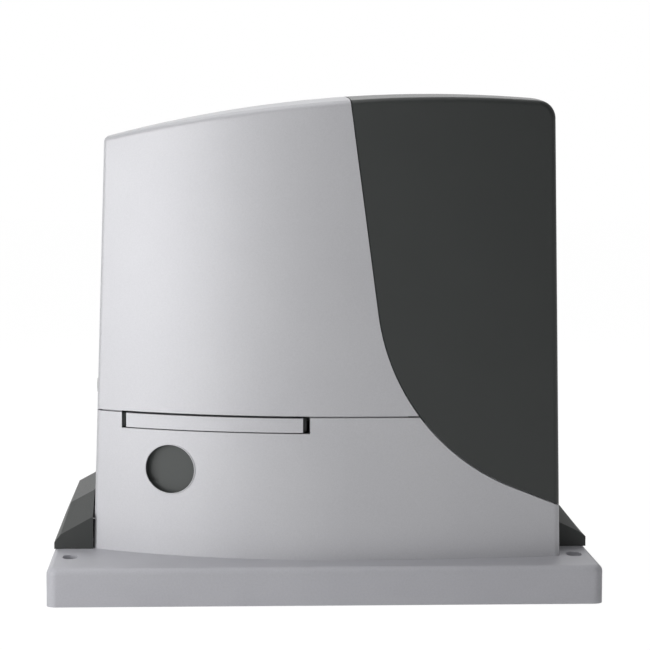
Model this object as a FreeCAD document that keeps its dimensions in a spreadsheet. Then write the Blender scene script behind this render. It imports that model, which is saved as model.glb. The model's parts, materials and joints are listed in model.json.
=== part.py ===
import FreeCAD, Part
import math
import os

import Sketcher
from FreeCAD import Placement, Rotation, Vector

# Sliding gate motor, in millimetres.  X runs to the right along the gate, Y runs from the
# front of the motor towards the gate, Z is up.  The origin is the centre of the base's
# underside.

# ---------------------------------------------------------------------------------------
# Driving dimensions
# ---------------------------------------------------------------------------------------

SIZES = {
    # Base casting
    "base_width": 330, "base_depth": 180, "base_top": 23, "base_corner": 6,
    "base_edge": 4, "base_wall": 4, "base_floor": 6, "base_rib": 3,
    "base_columns": 6, "base_rows": 3,
    "anchor_inset": 12, "anchor_y": 0, "anchor_pitch": 104, "anchor_slot": 14,
    "anchor_width": 9, "anchor_boss": 10,
    "cable_inset": 61, "cable_y": -22, "cable_bore": 30, "grommet_wall": 3,
    "grommet_depth": 8, "grommet_lip": 3, "grommet_bevel": 1,
    # Outer form of the casing above the base
    "left_foot": -140.3, "left_head": -131.5, "right_foot": 143.6, "right_head": 138.6,
    "front_foot": -68, "front_head": -61, "rear_face": 86, "form_head": 320,
    "bow_x": 12, "bow_left": 280, "bow_right": 900, "top_z": 303, "top_x": 70,
    "top_bow": 780, "crest_y": 10, "crown": 800,
    "left_edge": 3.5, "right_edge": 4, "crest_edge": 3.5, "shoulder_edge": 11,
    "casing_wall": 3, "lap_gap": 0.3, "lap_wall": 2, "lap_reach": 6,
    # Shut lines
    "seam_z": 109, "seam_gap": 1, "split_x": 162.3, "split_z": 187.7,
    "split_radius": 131, "split_lean": 7.6, "split_fall": 22, "split_gap": 0.6,
    # Release handle
    "handle_left": -119.7, "handle_right": -13, "handle_low": 99.6,
    "handle_slot_left": 2.7, "handle_slot_right": 4.2, "handle_gap": 0.7,
    "handle_wall": 6, "handle_arm": 3, "arm_inset": 0.8, "arm_low_gap": 0.6,
    "arm_high_gap": 1.2, "arm_trim": 1.5,
    "yoke_y": -14, "yoke_wall": 5, "rod_z": 128, "rod_radius": 4, "rod_gap": 0.05,
    "yoke_rim": 3.5, "fork_wall": 6, "fork_rise": 14, "fork_head": 2,
    # Lock behind its round window
    "lock_x": -92.9, "lock_z": 75.4, "window_radius": 15,
    "plate_width": 34, "plate_height": 33, "plate_wall": 2, "plate_shift": 2.5,
    "plate_gap": 0.4, "plate_step": 7, "rail_wall": 2, "rail_gap": 0.3, "rail_lip": 3,
    "plate_travel": 32, "sleeve_radius": 12, "barrel_radius": 8, "barrel_gap": 0.05,
    "barrel_front": -32.5, "barrel_rear": -20, "cam_wall": 3, "cam_length": 29,
    "cam_width": 9, "keyway_width": 2.2, "keyway_height": 9, "cam_play": 0.5,
    "step_inset": 3, "sleeve_flange": 3, "bracket_half": 10, "bracket_wall": 4,
    "bracket_foot": 16, "bracket_lap": 2,
    # Rear skirt
    "wing_front": -25, "wing_rise": 25, "wing_inset": 0.5, "wing_edge": 4,
    "left_wing_side": 27, "left_hip_x": 155.5, "left_hip": 48, "left_wing_top": 56,
    "left_low_side": 32, "left_wing_low": 43,
    "right_wing_side": 29, "right_hip_x": 151, "right_hip": 45.5, "right_wing_top": 51.5,
    "right_low_side": 32, "right_wing_low": 40,
    "wing_wall": 2.5, "skirt_gap": 0.4, "skirt_wall": 3.6, "mast_left": -34,
    "mast_right": 58, "mast_top": 186, "mast_gap": 0.6, "mast_corner": 6,
    "join_inset": 3, "join_lap": 4,
    # Output shaft, wheel and pinion on one axis along Y
    "shaft_z": 95, "gear_module": 3, "wheel_teeth": 30, "worm_pitch_radius": 15,
    "pressure_angle": 20, "gear_play": 0.25, "worm_turns": 5, "wheel_y": 50,
    "wheel_width": 20, "wheel_web": 8, "wheel_rim": 6, "hub_radius": 25, "bush_wall": 2,
    "shaft_relief": 1, "wheel_collar": 1, "shaft_reach": 2, "hex_start": 2, "hex_end": 1,
    "seat_radius": 12, "seat_gap": 0.05, "hex_flats": 22, "hex_gap": 0.15,
    "pinion_module": 4, "pinion_teeth": 15, "pinion_width": 28, "pinion_start": 91,
    "pinion_seat": 10, "key_width": 6, "key_height": 5, "key_inset": 3,
    "pinion_washer": 1, "pinion_washer_radius": 16, "pinion_bolt_reach": 16,
    "tap_depth": 18,
    # Dog clutch
    "ring_radius": 24, "ring_length": 12, "groove_radius": 20.5, "groove_width": 5,
    "fork_gap": 0.3, "dog_count": 4, "dog_width": 8, "dog_depth": 4, "dog_gap": 0.4,
    "dog_inset": 1, "ring_relief": 2, "ring_play": 0.4,
    # Bearings: bore radius, outer radius and width
    "rear_bore": 12.5, "rear_outer": 26, "rear_width": 15,
    "front_bore": 8.5, "front_outer": 17.5, "front_width": 10,
    "low_bore": 5, "low_outer": 13, "low_width": 8,
    "high_bore": 7.5, "high_outer": 16, "high_width": 9,
    "shield_recess": 0.6, "bearing_shoulder": 3, "seal_width": 7, "seal_outer": 20,
    "seal_lip": 3, "lip_gap": 0.05,
    # Worm shaft
    "worm_shoulder": 4, "worm_relief": 2, "high_shoulder": 1, "shaft_step": 4,
    "low_cover": 1, "high_cover": 6,
    # Gear casing
    "case_wall": 4, "chamber_gap": 2, "case_front": 8, "case_rear": 80,
    "case_boss": 35, "boss_end": 88, "lid_wall": 8, "lug_radius": 7, "lug_orbit": 58,
    "tower_wall": 5, "tower_low": 50, "flange_z": 148, "flange_wall": 6,
    "foot_wall": 8, "foot_left": -50, "foot_right": 72, "foot_front": 14,
    "foot_rear": 76, "foot_bolt_inset": 8, "pedestal_half": 34,
    "saddle_half": 14, "saddle_depth": 24, "saddle_rise": 14, "saddle_wall": 3,
    "saddle_seat": 22, "lug_length": 16, "lug_hole": 13, "flange_rim": 0.4,
    "flange_root": 4, "passage_gap": 1.5, "neck_gap": 2, "lid_recess": 2,
    "lid_boss_depth": 4, "lid_boss_wall": 4, "guide_wall": 4,
    # Motor
    "can_radius": 31.5, "can_wall": 2, "can_floor": 3, "can_length": 108,
    "cap_length": 10,
    "armature_radius": 23, "armature_low": 16, "armature_high": 8,
    "commutator_length": 14, "cap_bevel": 3, "magnet_wall": 5, "magnet_gap": 8,
    "encoder_radius": 9, "encoder_length": 5, "encoder_gap": 0.5,
    "motor_screw_inset": 7, "motor_screw_head": 3,
    # Transformer
    "coil_x": -94, "coil_y": 36, "coil_outer": 41, "coil_inner": 14, "coil_height": 42,
    "coil_round": 9, "dish_radius": 30, "dish_wall": 2, "dish_step": 1, "dish_slope": 3,
    "coil_bolt": 4, "coil_bolt_head": 4,
    # Control board and what stands on it
    "tray_left": -126, "tray_right": 16, "tray_low": 137, "tray_high": 262,
    "tray_front": -12, "tray_wall": 3, "tray_rim": 6, "tray_lip": 2, "leg_width": 5,
    "leg_rise": 10, "leg_depth": 6,
    "board_left": -120, "board_right": 8, "board_low": 144, "board_high": 254,
    "board_gap": 4, "board_wall": 1.6, "post_inset": 5, "post_radius": 3.5,
    "board_screw": 3, "board_screw_head": 2,
    "terminal_count": 5, "terminal_left": 12, "terminal_pitch": 21, "terminal_low": 0.5,
    "terminal_width": 18, "terminal_height": 10, "terminal_depth": 11,
    "relay_count": 2, "relay_left": 14, "relay_pitch": 24, "relay_low": 78,
    "relay_width": 20, "relay_height": 16, "relay_depth": 14,
    "receiver_left": 88, "receiver_low": 60, "receiver_width": 30, "receiver_height": 42,
    "receiver_depth": 13,
    "fuse_left": 66, "fuse_low": 84, "fuse_width": 10, "fuse_height": 22, "fuse_depth": 9,
    "capacitor_count": 2, "capacitor_left": 24, "capacitor_pitch": 18,
    "capacitor_low": 58, "capacitor_radius": 7, "capacitor_depth": 16,
    "processor_left": 62, "processor_low": 52, "processor_side": 14, "processor_depth": 2.5,
    "button_left": 50, "button_pitch": 12, "button_low": 26, "button_radius": 1.7,
    "button_depth": 1.8, "button_gap": 0.35, "press_side": 6, "press_depth": 3.6,
    # Limit switch
    "switch_z": 164, "switch_half": 20, "switch_depth": 20, "switch_height": 26,
    "switch_wall": 2, "lever_y": 75.5, "lever_radius": 6, "lever_length": 12,
    "spring_radius": 3.5, "spring_end": 119, "spring_turns": 8, "spring_groove": 0.7,
    "lever_neck": 3, "window_half": 13, "window_height": 12,
    # Cover screw
    "screw_y": 34, "screw_z": 118, "screw_radius": 2.5, "screw_head": 5,
    "screw_gap": 0.4, "screw_stand": 0.6, "screw_rim": 2.4, "screw_top": 3,
    "screw_bevel": 0.8, "socket_radius": 1.4, "socket_floor": 1.6,
    "post_width": 16, "post_drop": 20, "post_cap": 2,
    # Small fasteners
    "small_screw": 2.4, "small_gap": 0.1, "small_head": 3.6, "small_bite": 10,
    "medium_screw": 3, "medium_gap": 0.3, "medium_head": 5,
}

# Cutting tools run past the faces that they cut, and fused blocks into each other, by
# this much.
PAST = 1

doc = FreeCAD.newDocument("SlidingGateMotor")
sheet = doc.addObject("Spreadsheet::Sheet", "Sizes")
for row, (alias, number) in enumerate(SIZES.items(), start=1):
    sheet.set(f"A{row}", alias)
    sheet.set(f"B{row}", str(number))
    sheet.setAlias(f"B{row}", alias)
doc.recompute()


# ---------------------------------------------------------------------------------------
# Sizes that know their formula
# ---------------------------------------------------------------------------------------

class Size:
    """A number together with the spreadsheet formula that gives it."""

    def __init__(self, value, formula):
        self.value = float(value)
        self.formula = formula

    def __float__(self):
        return self.value

    def __neg__(self):
        return Size(-self.value, f"(-{self.formula})")

    def __add__(self, other):
        other = size(other)
        return Size(self.value + other.value, f"({self.formula} + {other.formula})")

    def __sub__(self, other):
        other = size(other)
        return Size(self.value - other.value, f"({self.formula} - {other.formula})")

    def __mul__(self, other):
        other = size(other)
        return Size(self.value * other.value, f"({self.formula} * {other.formula})")

    def __truediv__(self, other):
        other = size(other)
        return Size(self.value / other.value, f"({self.formula} / {other.formula})")

    def __radd__(self, other):
        return size(other) + self

    def __rsub__(self, other):
        return size(other) - self

    def __rmul__(self, other):
        return size(other) * self

    def __rtruediv__(self, other):
        return size(other) / self


def size(number):
    """Turn a plain number into a Size."""
    if isinstance(number, Size):
        return number
    return Size(number, f"({float(number)!r})")


def count(number):
    """A size that counts things, as a whole number."""
    return int(round(float(number)))


def root(number):
    return Size(math.sqrt(float(number)), f"sqrt({size(number).formula})")


def sine(angle):
    return Size(math.sin(math.radians(float(angle))), f"sin({size(angle).formula})")


def cosine(angle):
    return Size(math.cos(math.radians(float(angle))), f"cos({size(angle).formula})")


class Sheet:
    """The driving dimensions, read by name."""

    def __getattr__(self, alias):
        return Size(getattr(sheet, alias), f"Sizes.{alias}")


s = Sheet()
PARTS = {}


def bind(item, path, number):
    item.setExpression(path, size(number).formula)


def place(item, x=0, y=0, z=0, rotation=None):
    """Put an object at a point that follows the sheet."""
    if rotation is not None:
        item.Placement = Placement(Vector(0, 0, 0), rotation)
    for axis, number in zip("xyz", (x, y, z)):
        bind(item, f"Placement.Base.{axis}", number)
    return item


def finished(item, name):
    """Name a finished sub-part."""
    item.Label = name
    PARTS[name] = item
    return item


# Rotations that turn the local Z axis onto another axis
ALONG = {
    "x": Rotation(Vector(0, 1, 0), 90),
    "y": Rotation(Vector(1, 0, 0), -90),
    "z": Rotation(),
    "-x": Rotation(Vector(0, 1, 0), -90),
    "-y": Rotation(Vector(1, 0, 0), 90),
}


def box(name, x, y, z):
    """A block between two limits on each axis."""
    item = doc.addObject("Part::Box", name)
    for side, limits in zip(("Length", "Width", "Height"), (x, y, z)):
        bind(item, side, size(limits[1]) - limits[0])
    return place(item, x[0], y[0], z[0])


def rod(name, axis, radius, start, length, across):
    """A cylinder along x, y or z.  across gives its other two coordinates, in order."""
    item = doc.addObject("Part::Cylinder", name)
    bind(item, "Radius", radius)
    bind(item, "Height", length)
    a, b = across
    points = {"x": (start, a, b), "y": (a, start, b), "z": (a, b, start)}
    return place(item, *points[axis], rotation=ALONG[axis])


def combine(kind, name, shapes):
    item = doc.addObject(kind, name)
    item.Shapes = shapes
    return item


def fuse(name, *shapes):
    return combine("Part::MultiFuse", name, list(shapes))


def common(name, *shapes):
    return combine("Part::MultiCommon", name, list(shapes))


def cut(name, base, *tools):
    """Take tools away from a base."""
    item = doc.addObject("Part::Cut", name)
    item.Base = base
    item.Tool = tools[0] if len(tools) == 1 else fuse(name + "Tools", *tools)
    return item


def rounded(name, base, groups):
    """Fillet edges.  groups is a list of (test, radius); test looks at one edge."""
    doc.recompute()
    item = doc.addObject("Part::Fillet", name)
    item.Base = base
    chosen = []
    for number, edge in enumerate(base.Shape.Edges, start=1):
        for test, radius in groups:
            if test(edge):
                chosen.append((number, float(radius), float(radius)))
                break
    item.Edges = chosen
    return item


def draw(sketch, corners):
    """Draw one closed loop in a sketch.

    A corner is (x, y) or (x, y, radius, side): then the edge that leaves it is an arc of
    that radius whose centre is to the left (side 1) or right (side -1) of the edge."""
    rule = Sketcher.Constraint
    points = [Vector(float(c[0]), float(c[1]), 0) for c in corners]
    edges = []
    for index, corner in enumerate(corners):
        start, end = points[index], points[(index + 1) % len(points)]
        if len(corner) == 2:
            edges.append(sketch.addGeometry(Part.LineSegment(start, end), False))
            continue
        radius, side = float(corner[2]), corner[3]
        chord = end - start
        normal = Vector(-chord.y, chord.x, 0).normalize() * side
        height = math.sqrt(max(radius ** 2 - (chord.Length / 2) ** 2, 0))
        middle = (start + end) / 2 + normal * (height - radius)
        edges.append(sketch.addGeometry(Part.Arc(start, middle, end), False))
    for index, corner in enumerate(corners):
        edge, before = edges[index], edges[index - 1]
        arc = len(corner) == 4 and corner[3] == -1
        arc_before = len(corners[index - 1]) == 4 and corners[index - 1][3] == -1
        first, last = (2 if arc else 1), (1 if arc_before else 2)
        sketch.addConstraint(rule("Coincident", before, last, edge, first))
        for kind, number in (("DistanceX", corner[0]), ("DistanceY", corner[1])):
            held = sketch.addConstraint(rule(kind, -1, 1, edge, first, float(number)))
            bind(sketch, f"Constraints[{held}]", number)
        if len(corner) == 4:
            after = corners[(index + 1) % len(corners)]
            chord = points[(index + 1) % len(points)] - points[index]
            if abs(chord.Length - 2 * float(corner[2])) > 1e-6:
                kind, end, number = "Radius", [edge], corner[2]
            elif abs(chord.x) > abs(chord.y):
                # The centre of a half circle is held level with its two ends.
                kind, end = "DistanceY", [-1, 1, edge, 3]
                number = (size(corner[1]) + after[1]) / 2
            else:
                kind, end = "DistanceX", [-1, 1, edge, 3]
                number = (size(corner[0]) + after[0]) / 2
            held = sketch.addConstraint(rule(kind, *end, float(number)))
            bind(sketch, f"Constraints[{held}]", number)


def free_sketch(name, corners, z=0):
    """A sketch in the XY plane at a height."""
    sketch = doc.addObject("Sketcher::SketchObject", name)
    place(sketch, 0, 0, z)
    draw(sketch, corners)
    return sketch


def body_sketch(body, name, plane, corners, offset=0):
    """A sketch on one of a body's own origin planes."""
    sketch = body.newObject("Sketcher::SketchObject", name)
    origin = [item for item in body.Origin.OriginFeatures if item.Role == plane][0]
    sketch.AttachmentSupport = [(origin, "")]
    sketch.MapMode = "FlatFace"
    bind(sketch, "AttachmentOffset.Base.z", offset)
    draw(sketch, corners)
    return sketch


def padded(name, plane, corners, start, length):
    """A body made by padding a closed outline from one plane.

    On the XZ plane the pad runs towards +Y from start; on XY and YZ towards +Z and +X."""
    body = doc.addObject("PartDesign::Body", name)
    towards = {"XZ_Plane": -1, "XY_Plane": 1, "YZ_Plane": 1}[plane]
    sketch = body_sketch(body, name + "Outline", plane, corners, size(start) * towards)
    pad = body.newObject("PartDesign::Pad", name + "Pad")
    pad.Profile = sketch
    pad.Reversed = towards < 0
    bind(pad, "Length", length)
    return body


def turned(name, axis, profile, x=0, y=0, z=0):
    """A body turned about an axis.  profile is a list of (distance along, radius)."""
    body = doc.addObject("PartDesign::Body", name)
    corners = [(corner[1], corner[0]) + tuple(corner[2:]) for corner in profile]
    sketch = body_sketch(body, name + "Profile", "XZ_Plane", corners)
    turn = body.newObject("PartDesign::Revolution", name + "Turn")
    turn.Profile = sketch
    turn.ReferenceAxis = (sketch, ["V_Axis"])
    turn.Angle = 360
    place(body, x, y, z, rotation=ALONG[axis])
    return body


def ring(name, axis, outer, inner, length, x=0, y=0, z=0):
    """A plain tube turned about an axis."""
    return turned(name, axis, [(0, inner), (0, outer), (length, outer), (length, inner)],
                  x, y, z)


def slot_outline(x, y, width, length):
    """A slot along Y, centred on a point."""
    half, reach = size(width) / 2, (size(length) - width) / 2
    return [(x - half, y + reach), (x - half, y - reach, half, 1),
            (x + half, y - reach), (x + half, y + reach, half, 1)]


def rounded_outline(left, right, low, high, radius):
    """A rectangle with four round corners, drawn anticlockwise."""
    return [(left + radius, low), (right - radius, low, radius, 1),
            (size(right), low + radius), (size(right), high - radius, radius, 1),
            (right - radius, high), (left + radius, high, radius, 1),
            (size(left), high - radius), (size(left), low + radius, radius, 1)]


# ---------------------------------------------------------------------------------------
# The outer form and the lines that divide it
# ---------------------------------------------------------------------------------------

def plan(name, z, left, right, front, inset):
    """The outline of the casing at one height: a two-arc bow in front, flat sides."""
    bow_left, bow_right = s.bow_left - inset, s.bow_right - inset
    left, right = left + inset, right - inset
    front, rear = front + inset, s.rear_face - inset
    left_y = front + bow_left - root(bow_left * bow_left - (left - s.bow_x) * (left - s.bow_x))
    right_y = front + bow_right - root(
        bow_right * bow_right - (right - s.bow_x) * (right - s.bow_x))
    return free_sketch(name, [(left, left_y, bow_left, 1), (s.bow_x, front, bow_right, 1),
                              (right, right_y), (right, rear), (left, rear)], z)


def form(name, inset):
    """The casing's solid form, drawn in by a distance on every side but the bottom."""
    low = plan(name + "Foot", s.base_top, s.left_foot, s.right_foot, s.front_foot, inset)
    high = plan(name + "Head", s.form_head, s.left_head, s.right_head, s.front_head, inset)
    loft = doc.addObject("Part::Loft", name + "Loft")
    loft.Sections = [low, high]
    loft.Solid = True
    loft.Ruled = True
    # The crowned top belongs to a barrel turned about an X axis far below the motor.
    crown, bow = s.crown - inset, s.top_bow - inset
    start, end = s.left_foot - s.shoulder_edge, s.right_foot + s.shoulder_edge
    rim = [crown - bow + root(bow * bow - (edge - s.top_x) * (edge - s.top_x))
           for edge in (start, end)]
    sketch = free_sketch(name + "Crown", [(start, 0), (end, 0), (end, rim[1], bow, 1),
                                          (start, rim[0])])
    barrel = doc.addObject("Part::Revolution", name + "Barrel")
    barrel.Source = sketch
    barrel.Axis = Vector(1, 0, 0)
    barrel.Angle = 180
    barrel.Solid = True
    place(barrel, 0, s.crest_y, s.top_z - s.crown)
    return common(name, loft, barrel)


def split_zone(name, grow):
    """Everything right of and above the dividing curve, right through in Y."""
    radius = s.split_radius + grow
    reach = s.form_head
    top_x = s.split_x - radius * cosine(s.split_lean) - reach * sine(s.split_lean)
    top_z = s.split_z - radius * sine(s.split_lean) + reach * cosine(s.split_lean)
    turn_x = s.split_x - radius * cosine(s.split_lean)
    turn_z = s.split_z - radius * sine(s.split_lean)
    level_x = s.split_x - radius * sine(s.split_fall)
    level_z = s.split_z - radius * cosine(s.split_fall)
    end_x = level_x + s.right_foot * cosine(s.split_fall)
    end_z = level_z - s.right_foot * sine(s.split_fall)
    return padded(name, "XZ_Plane",
                  [(top_x, top_z), (turn_x, turn_z, radius, 1), (level_x, level_z),
                   (end_x, end_z), (end_x, top_z)],
                  -s.base_depth, s.base_depth * 2)


outer_raw = form("OuterForm", 0)


def is_upright(edge):
    return edge.BoundBox.ZLength > float(s.top_z - s.base_top) / 2


def on_side(edge, x):
    """Whether an edge stays at one end of the casing, give or take the walls' draft."""
    draft = max(float(s.left_head - s.left_foot), float(s.right_foot - s.right_head))
    return abs(edge.BoundBox.Center.x - float(x)) < draft


def is_top(edge):
    return edge.BoundBox.ZMin > float(s.base_top + s.top_z) / 2


outer = rounded("Outer", outer_raw, [
    (lambda e: is_upright(e) and on_side(e, s.left_foot), s.left_edge),
    (lambda e: is_upright(e) and on_side(e, s.right_foot), s.right_edge),
    (lambda e: is_top(e) and on_side(e, s.right_head), s.shoulder_edge),
    (is_top, s.crest_edge),
])
inner = form("Inner", s.casing_wall)
lap_outer = form("LapOuter", s.casing_wall + s.lap_gap)
lap_inner = form("LapInner", s.casing_wall + s.lap_gap + s.lap_wall)
skin = cut("Skin", outer, inner)
lap = cut("Lap", lap_outer, lap_inner)
thick_lap = cut("ThickLap", inner, lap_inner)
panel_zone = split_zone("PanelZone", 0)
panel_zone_clear = split_zone("PanelZoneClear", s.split_gap)
panel_zone_lap = split_zone("PanelZoneLap", s.lap_reach)
panel_zone_core = split_zone("PanelZoneCore", -s.lap_reach)

WIDE = (-s.base_width, s.base_width)
DEEP = (-s.base_depth, s.base_depth)
skirt_line = s.rear_face - s.skirt_wall
seam_low, seam_high = s.seam_z - s.seam_gap / 2, s.seam_z + s.seam_gap / 2
below_seam = box("BelowSeam", WIDE, DEEP, (0, seam_low))
above_seam = box("AboveSeam", WIDE, DEEP, (seam_high, s.form_head))
rear_low = box("RearLow", WIDE, (skirt_line - s.skirt_gap, s.base_depth), (0, seam_high))
# The mast's notch is cut in from the rear, well past the casing's wall there.
notch_depth = s.casing_wall * 2 + s.mast_corner / 2 + PAST
mast_notch = box("MastNotch", (s.mast_left - s.mast_gap, s.mast_right + s.mast_gap),
                 (skirt_line - s.skirt_gap - notch_depth, s.base_depth),
                 (0, s.mast_top + s.mast_gap))


# ---------------------------------------------------------------------------------------
# Base
# ---------------------------------------------------------------------------------------

def foot_bolt_points():
    """Where the gear casing's four feet bolts stand."""
    inset = s.foot_bolt_inset
    return [(x, y) for x in (s.foot_left + inset, s.foot_right - inset)
            for y in (s.foot_front + inset, s.foot_rear - inset)]


def base_bolts():
    """Holes in the base for bolts from above: place and radius."""
    holes = [(x, y, s.medium_screw) for x, y in foot_bolt_points()]
    return holes + [(s.coil_x, s.coil_y, s.coil_bolt)]


def make_base_plate():
    half_x, half_y = s.base_width / 2, s.base_depth / 2
    block = padded("BaseBlock", "XY_Plane",
                   rounded_outline(-half_x, half_x, -half_y, half_y, s.base_corner),
                   0, s.base_top)
    block = rounded("BaseSoft", block, [
        (lambda e: e.BoundBox.ZMin > float(s.base_top) - 0.01, s.base_edge)])
    # The underside is hollow between a rim, ribs and the anchor bosses.
    cell_top = s.base_top - s.base_floor
    columns, rows = count(s.base_columns), count(s.base_rows)
    inside_x, inside_y = s.base_width - s.base_wall * 2, s.base_depth - s.base_wall * 2
    step_x, step_y = inside_x / columns, inside_y / rows
    cells = []
    for i in range(columns):
        for j in range(rows):
            left = -half_x + s.base_wall + step_x * i
            front = -half_y + s.base_wall + step_y * j
            trim = s.base_rib / 2
            cells.append(box(f"BaseCell{i}{j}", (left + trim, left + step_x - trim),
                             (front + trim, front + step_y - trim), (-PAST, cell_top)))
    hollow = fuse("BaseCells", *cells)
    bosses, slots = [], []
    for i, side in enumerate((-1, 1)):
        for j, end in enumerate((-0.5, 0.5)):
            x, y = (half_x - s.anchor_inset) * side, s.anchor_y + s.anchor_pitch * end
            bosses.append(box(f"AnchorBoss{i}{j}", (x - s.anchor_boss, x + s.anchor_boss),
                              (y - s.anchor_slot, y + s.anchor_slot),
                              (0, cell_top + PAST)))
            slots.append(padded(f"AnchorSlot{i}{j}", "XY_Plane",
                                slot_outline(x, y, s.anchor_width, s.anchor_slot),
                                -PAST, s.base_top + PAST * 2))
    cable_x, bore = half_x - s.cable_inset, s.cable_bore / 2
    cable_boss = rod("CableBoss", "z", bore + s.base_wall, 0, cell_top + PAST,
                     (cable_x, s.cable_y))
    cable_hole = rod("CableHole", "z", bore, -PAST, s.base_top + PAST * 2,
                     (cable_x, s.cable_y))
    bolt_holes = [rod(f"BaseBoltHole{i}", "z", radius, 0, s.base_top + PAST, (x, y))
                  for i, (x, y, radius) in enumerate(base_bolts())]
    hollow = cut("BaseHollow", hollow, cable_boss, *bosses)
    finished(cut("BasePlate", block, hollow, cable_hole, *slots, *bolt_holes), "base_plate")
    # The grommet snaps round the edge of the cable hole.
    inside, rim = bore - s.grommet_wall, bore + s.grommet_wall
    grommet_low, grommet_high = s.base_top - s.grommet_depth, s.base_top + s.grommet_lip
    finished(turned("CableGrommet", "z", [
        (s.base_top, inside), (grommet_low, inside), (grommet_low, bore), (s.base_top, bore),
        (s.base_top, rim), (grommet_high, rim - s.grommet_bevel), (grommet_high, inside)],
        cable_x, s.cable_y), "cable_grommet")


# ---------------------------------------------------------------------------------------
# Casing shells
# ---------------------------------------------------------------------------------------

# The lock plate slides on a straight line behind the bowed front.  The line is square to
# the bow at the middle of everything that the plate covers on its way.
plate_middle = s.plate_travel / 2
slide_x = s.lock_x + plate_middle
slide_reach = slide_x - s.bow_x
slide_y = s.front_foot + s.bow_left - root(s.bow_left * s.bow_left - slide_reach * slide_reach)
slide_angle = Size(math.degrees(math.asin(-float(slide_reach) / float(s.bow_left))),
                   f"asin(-{slide_reach.formula} / {s.bow_left.formula})")
slide_half = (s.plate_width + s.plate_travel) / 2 + s.plate_shift
slide_sag = slide_half * slide_half / (2 * (s.bow_left - s.casing_wall))
slide_lean = ((s.front_head - s.front_foot) * (s.lock_z + s.plate_height / 2 - s.base_top)
              / (s.form_head - s.base_top))
plate_depth = s.casing_wall + slide_sag + slide_lean + s.plate_gap
# At rest the plate is centred on the window, as seen from in front of it.
plate_offset = (plate_depth + s.plate_wall / 2) * sine(slide_angle) + plate_middle
plate_rest = -plate_offset / cosine(slide_angle) - s.plate_width / 2


def lock_frame(item, along=0, out=0, z=0):
    """Place an object in the lock plate's turned frame.

    along runs sideways from the middle of the plate's way, out is the distance behind the
    outer face."""
    turn = Rotation(Vector(0, 0, 1), -float(slide_angle))
    x = slide_x + size(along) * cosine(slide_angle) + size(out) * sine(slide_angle)
    y = slide_y - size(along) * sine(slide_angle) + size(out) * cosine(slide_angle)
    return place(item, x, y, z, rotation=turn)


def sized_block(name, length, width, height):
    item = doc.addObject("Part::Box", name)
    bind(item, "Length", length)
    bind(item, "Width", width)
    bind(item, "Height", height)
    return item


def make_lower_shell():
    walls = cut("LowerWalls", common("LowerSkin", skin, below_seam), panel_zone_clear,
                rear_low)
    # A lap stands up inside the cover and behind the side panel.
    strip_z = (s.seam_z - s.lap_reach, s.seam_z + s.lap_reach)
    front_only = box("LapFront", WIDE, (-s.base_depth, s.screw_y - s.post_width), strip_z)
    rising = cut("LapRising", common("LapBand", lap, front_only), panel_zone_lap)
    rooted = cut("LapRooted", common("LapRoot", thick_lap, front_only, below_seam),
                 panel_zone_lap)
    lap_limit = box("PanelLapLimit", WIDE, (-s.base_depth, s.wing_front),
                    (0, strip_z[0] + s.lap_wall))
    panel_band = cut("PanelBand", panel_zone_lap, panel_zone_core)
    behind_panel = common("PanelLap", lap, lap_limit, panel_band)
    panel_root = cut("PanelLapRoot", common("PanelRootBand", thick_lap, lap_limit, panel_band),
                     panel_zone_clear)
    # Rails hold the lock's cover plate behind the round window.
    half = s.plate_height / 2 + s.rail_gap
    rail_length = s.plate_width + s.plate_travel
    rails = []
    for side, low in (("Low", s.lock_z - half - s.rail_wall), ("High", s.lock_z + half)):
        lip_out = plate_depth + s.plate_wall + s.rail_gap
        rail = sized_block(f"Rail{side}", rail_length, lip_out + s.rail_wall, s.rail_wall)
        lock_frame(rail, plate_rest, 0, low)
        rails.append(rail)
        lip = sized_block(f"RailLip{side}", rail_length, s.rail_wall,
                          s.rail_lip + s.rail_wall)
        lip_low = low if side == "Low" else low - s.rail_lip
        lock_frame(lip, plate_rest, lip_out, lip_low)
        rails.append(lip)
    railing = common("Railing", fuse("Rails", *rails), outer_raw)
    # A post inside the left wall stands up into the cover and takes its fixing screw.
    post_x = wall_x(s.left_foot, s.left_head, s.screw_z) + s.casing_wall + s.lap_gap
    post_y = (s.screw_y - s.post_width / 2, s.screw_y + s.post_width / 2)
    post_low = s.seam_z - s.post_drop
    post = box("CoverPost", (post_x, post_x + s.screw_head), post_y,
               (post_low, s.screw_z + s.screw_head + s.post_cap))
    post_root = common("PostRoot", thick_lap,
                       box("PostRootBand", WIDE, post_y, (post_low, seam_low)),
                       box("PostSide", (-s.base_width, 0), DEEP, (0, s.form_head)))
    thread = rod("PostThread", "x", s.screw_radius, -s.base_width / 2, s.base_width / 2,
                 (s.screw_y, s.screw_z))
    whole = fuse("LowerWhole", walls, rising, rooted, behind_panel, panel_root, railing,
                 post, post_root)
    recess = box("HandleRecess",
                 (s.handle_left - s.handle_slot_left, s.handle_right + s.handle_slot_right),
                 (-s.base_depth, s.yoke_y), (s.handle_low - s.handle_gap, strip_z[1] + PAST))
    window = rod("LockWindow", "y", s.window_radius, -s.base_depth,
                 s.base_depth + s.barrel_front, (s.lock_x, s.lock_z))
    finished(cut("LowerShell", whole, recess, window, thread), "lower_shell")


def wall_x(foot, head, z):
    """Where a drafted side wall stands at a height."""
    return foot + (head - foot) * (size(z) - s.base_top) / (s.form_head - s.base_top)


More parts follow.
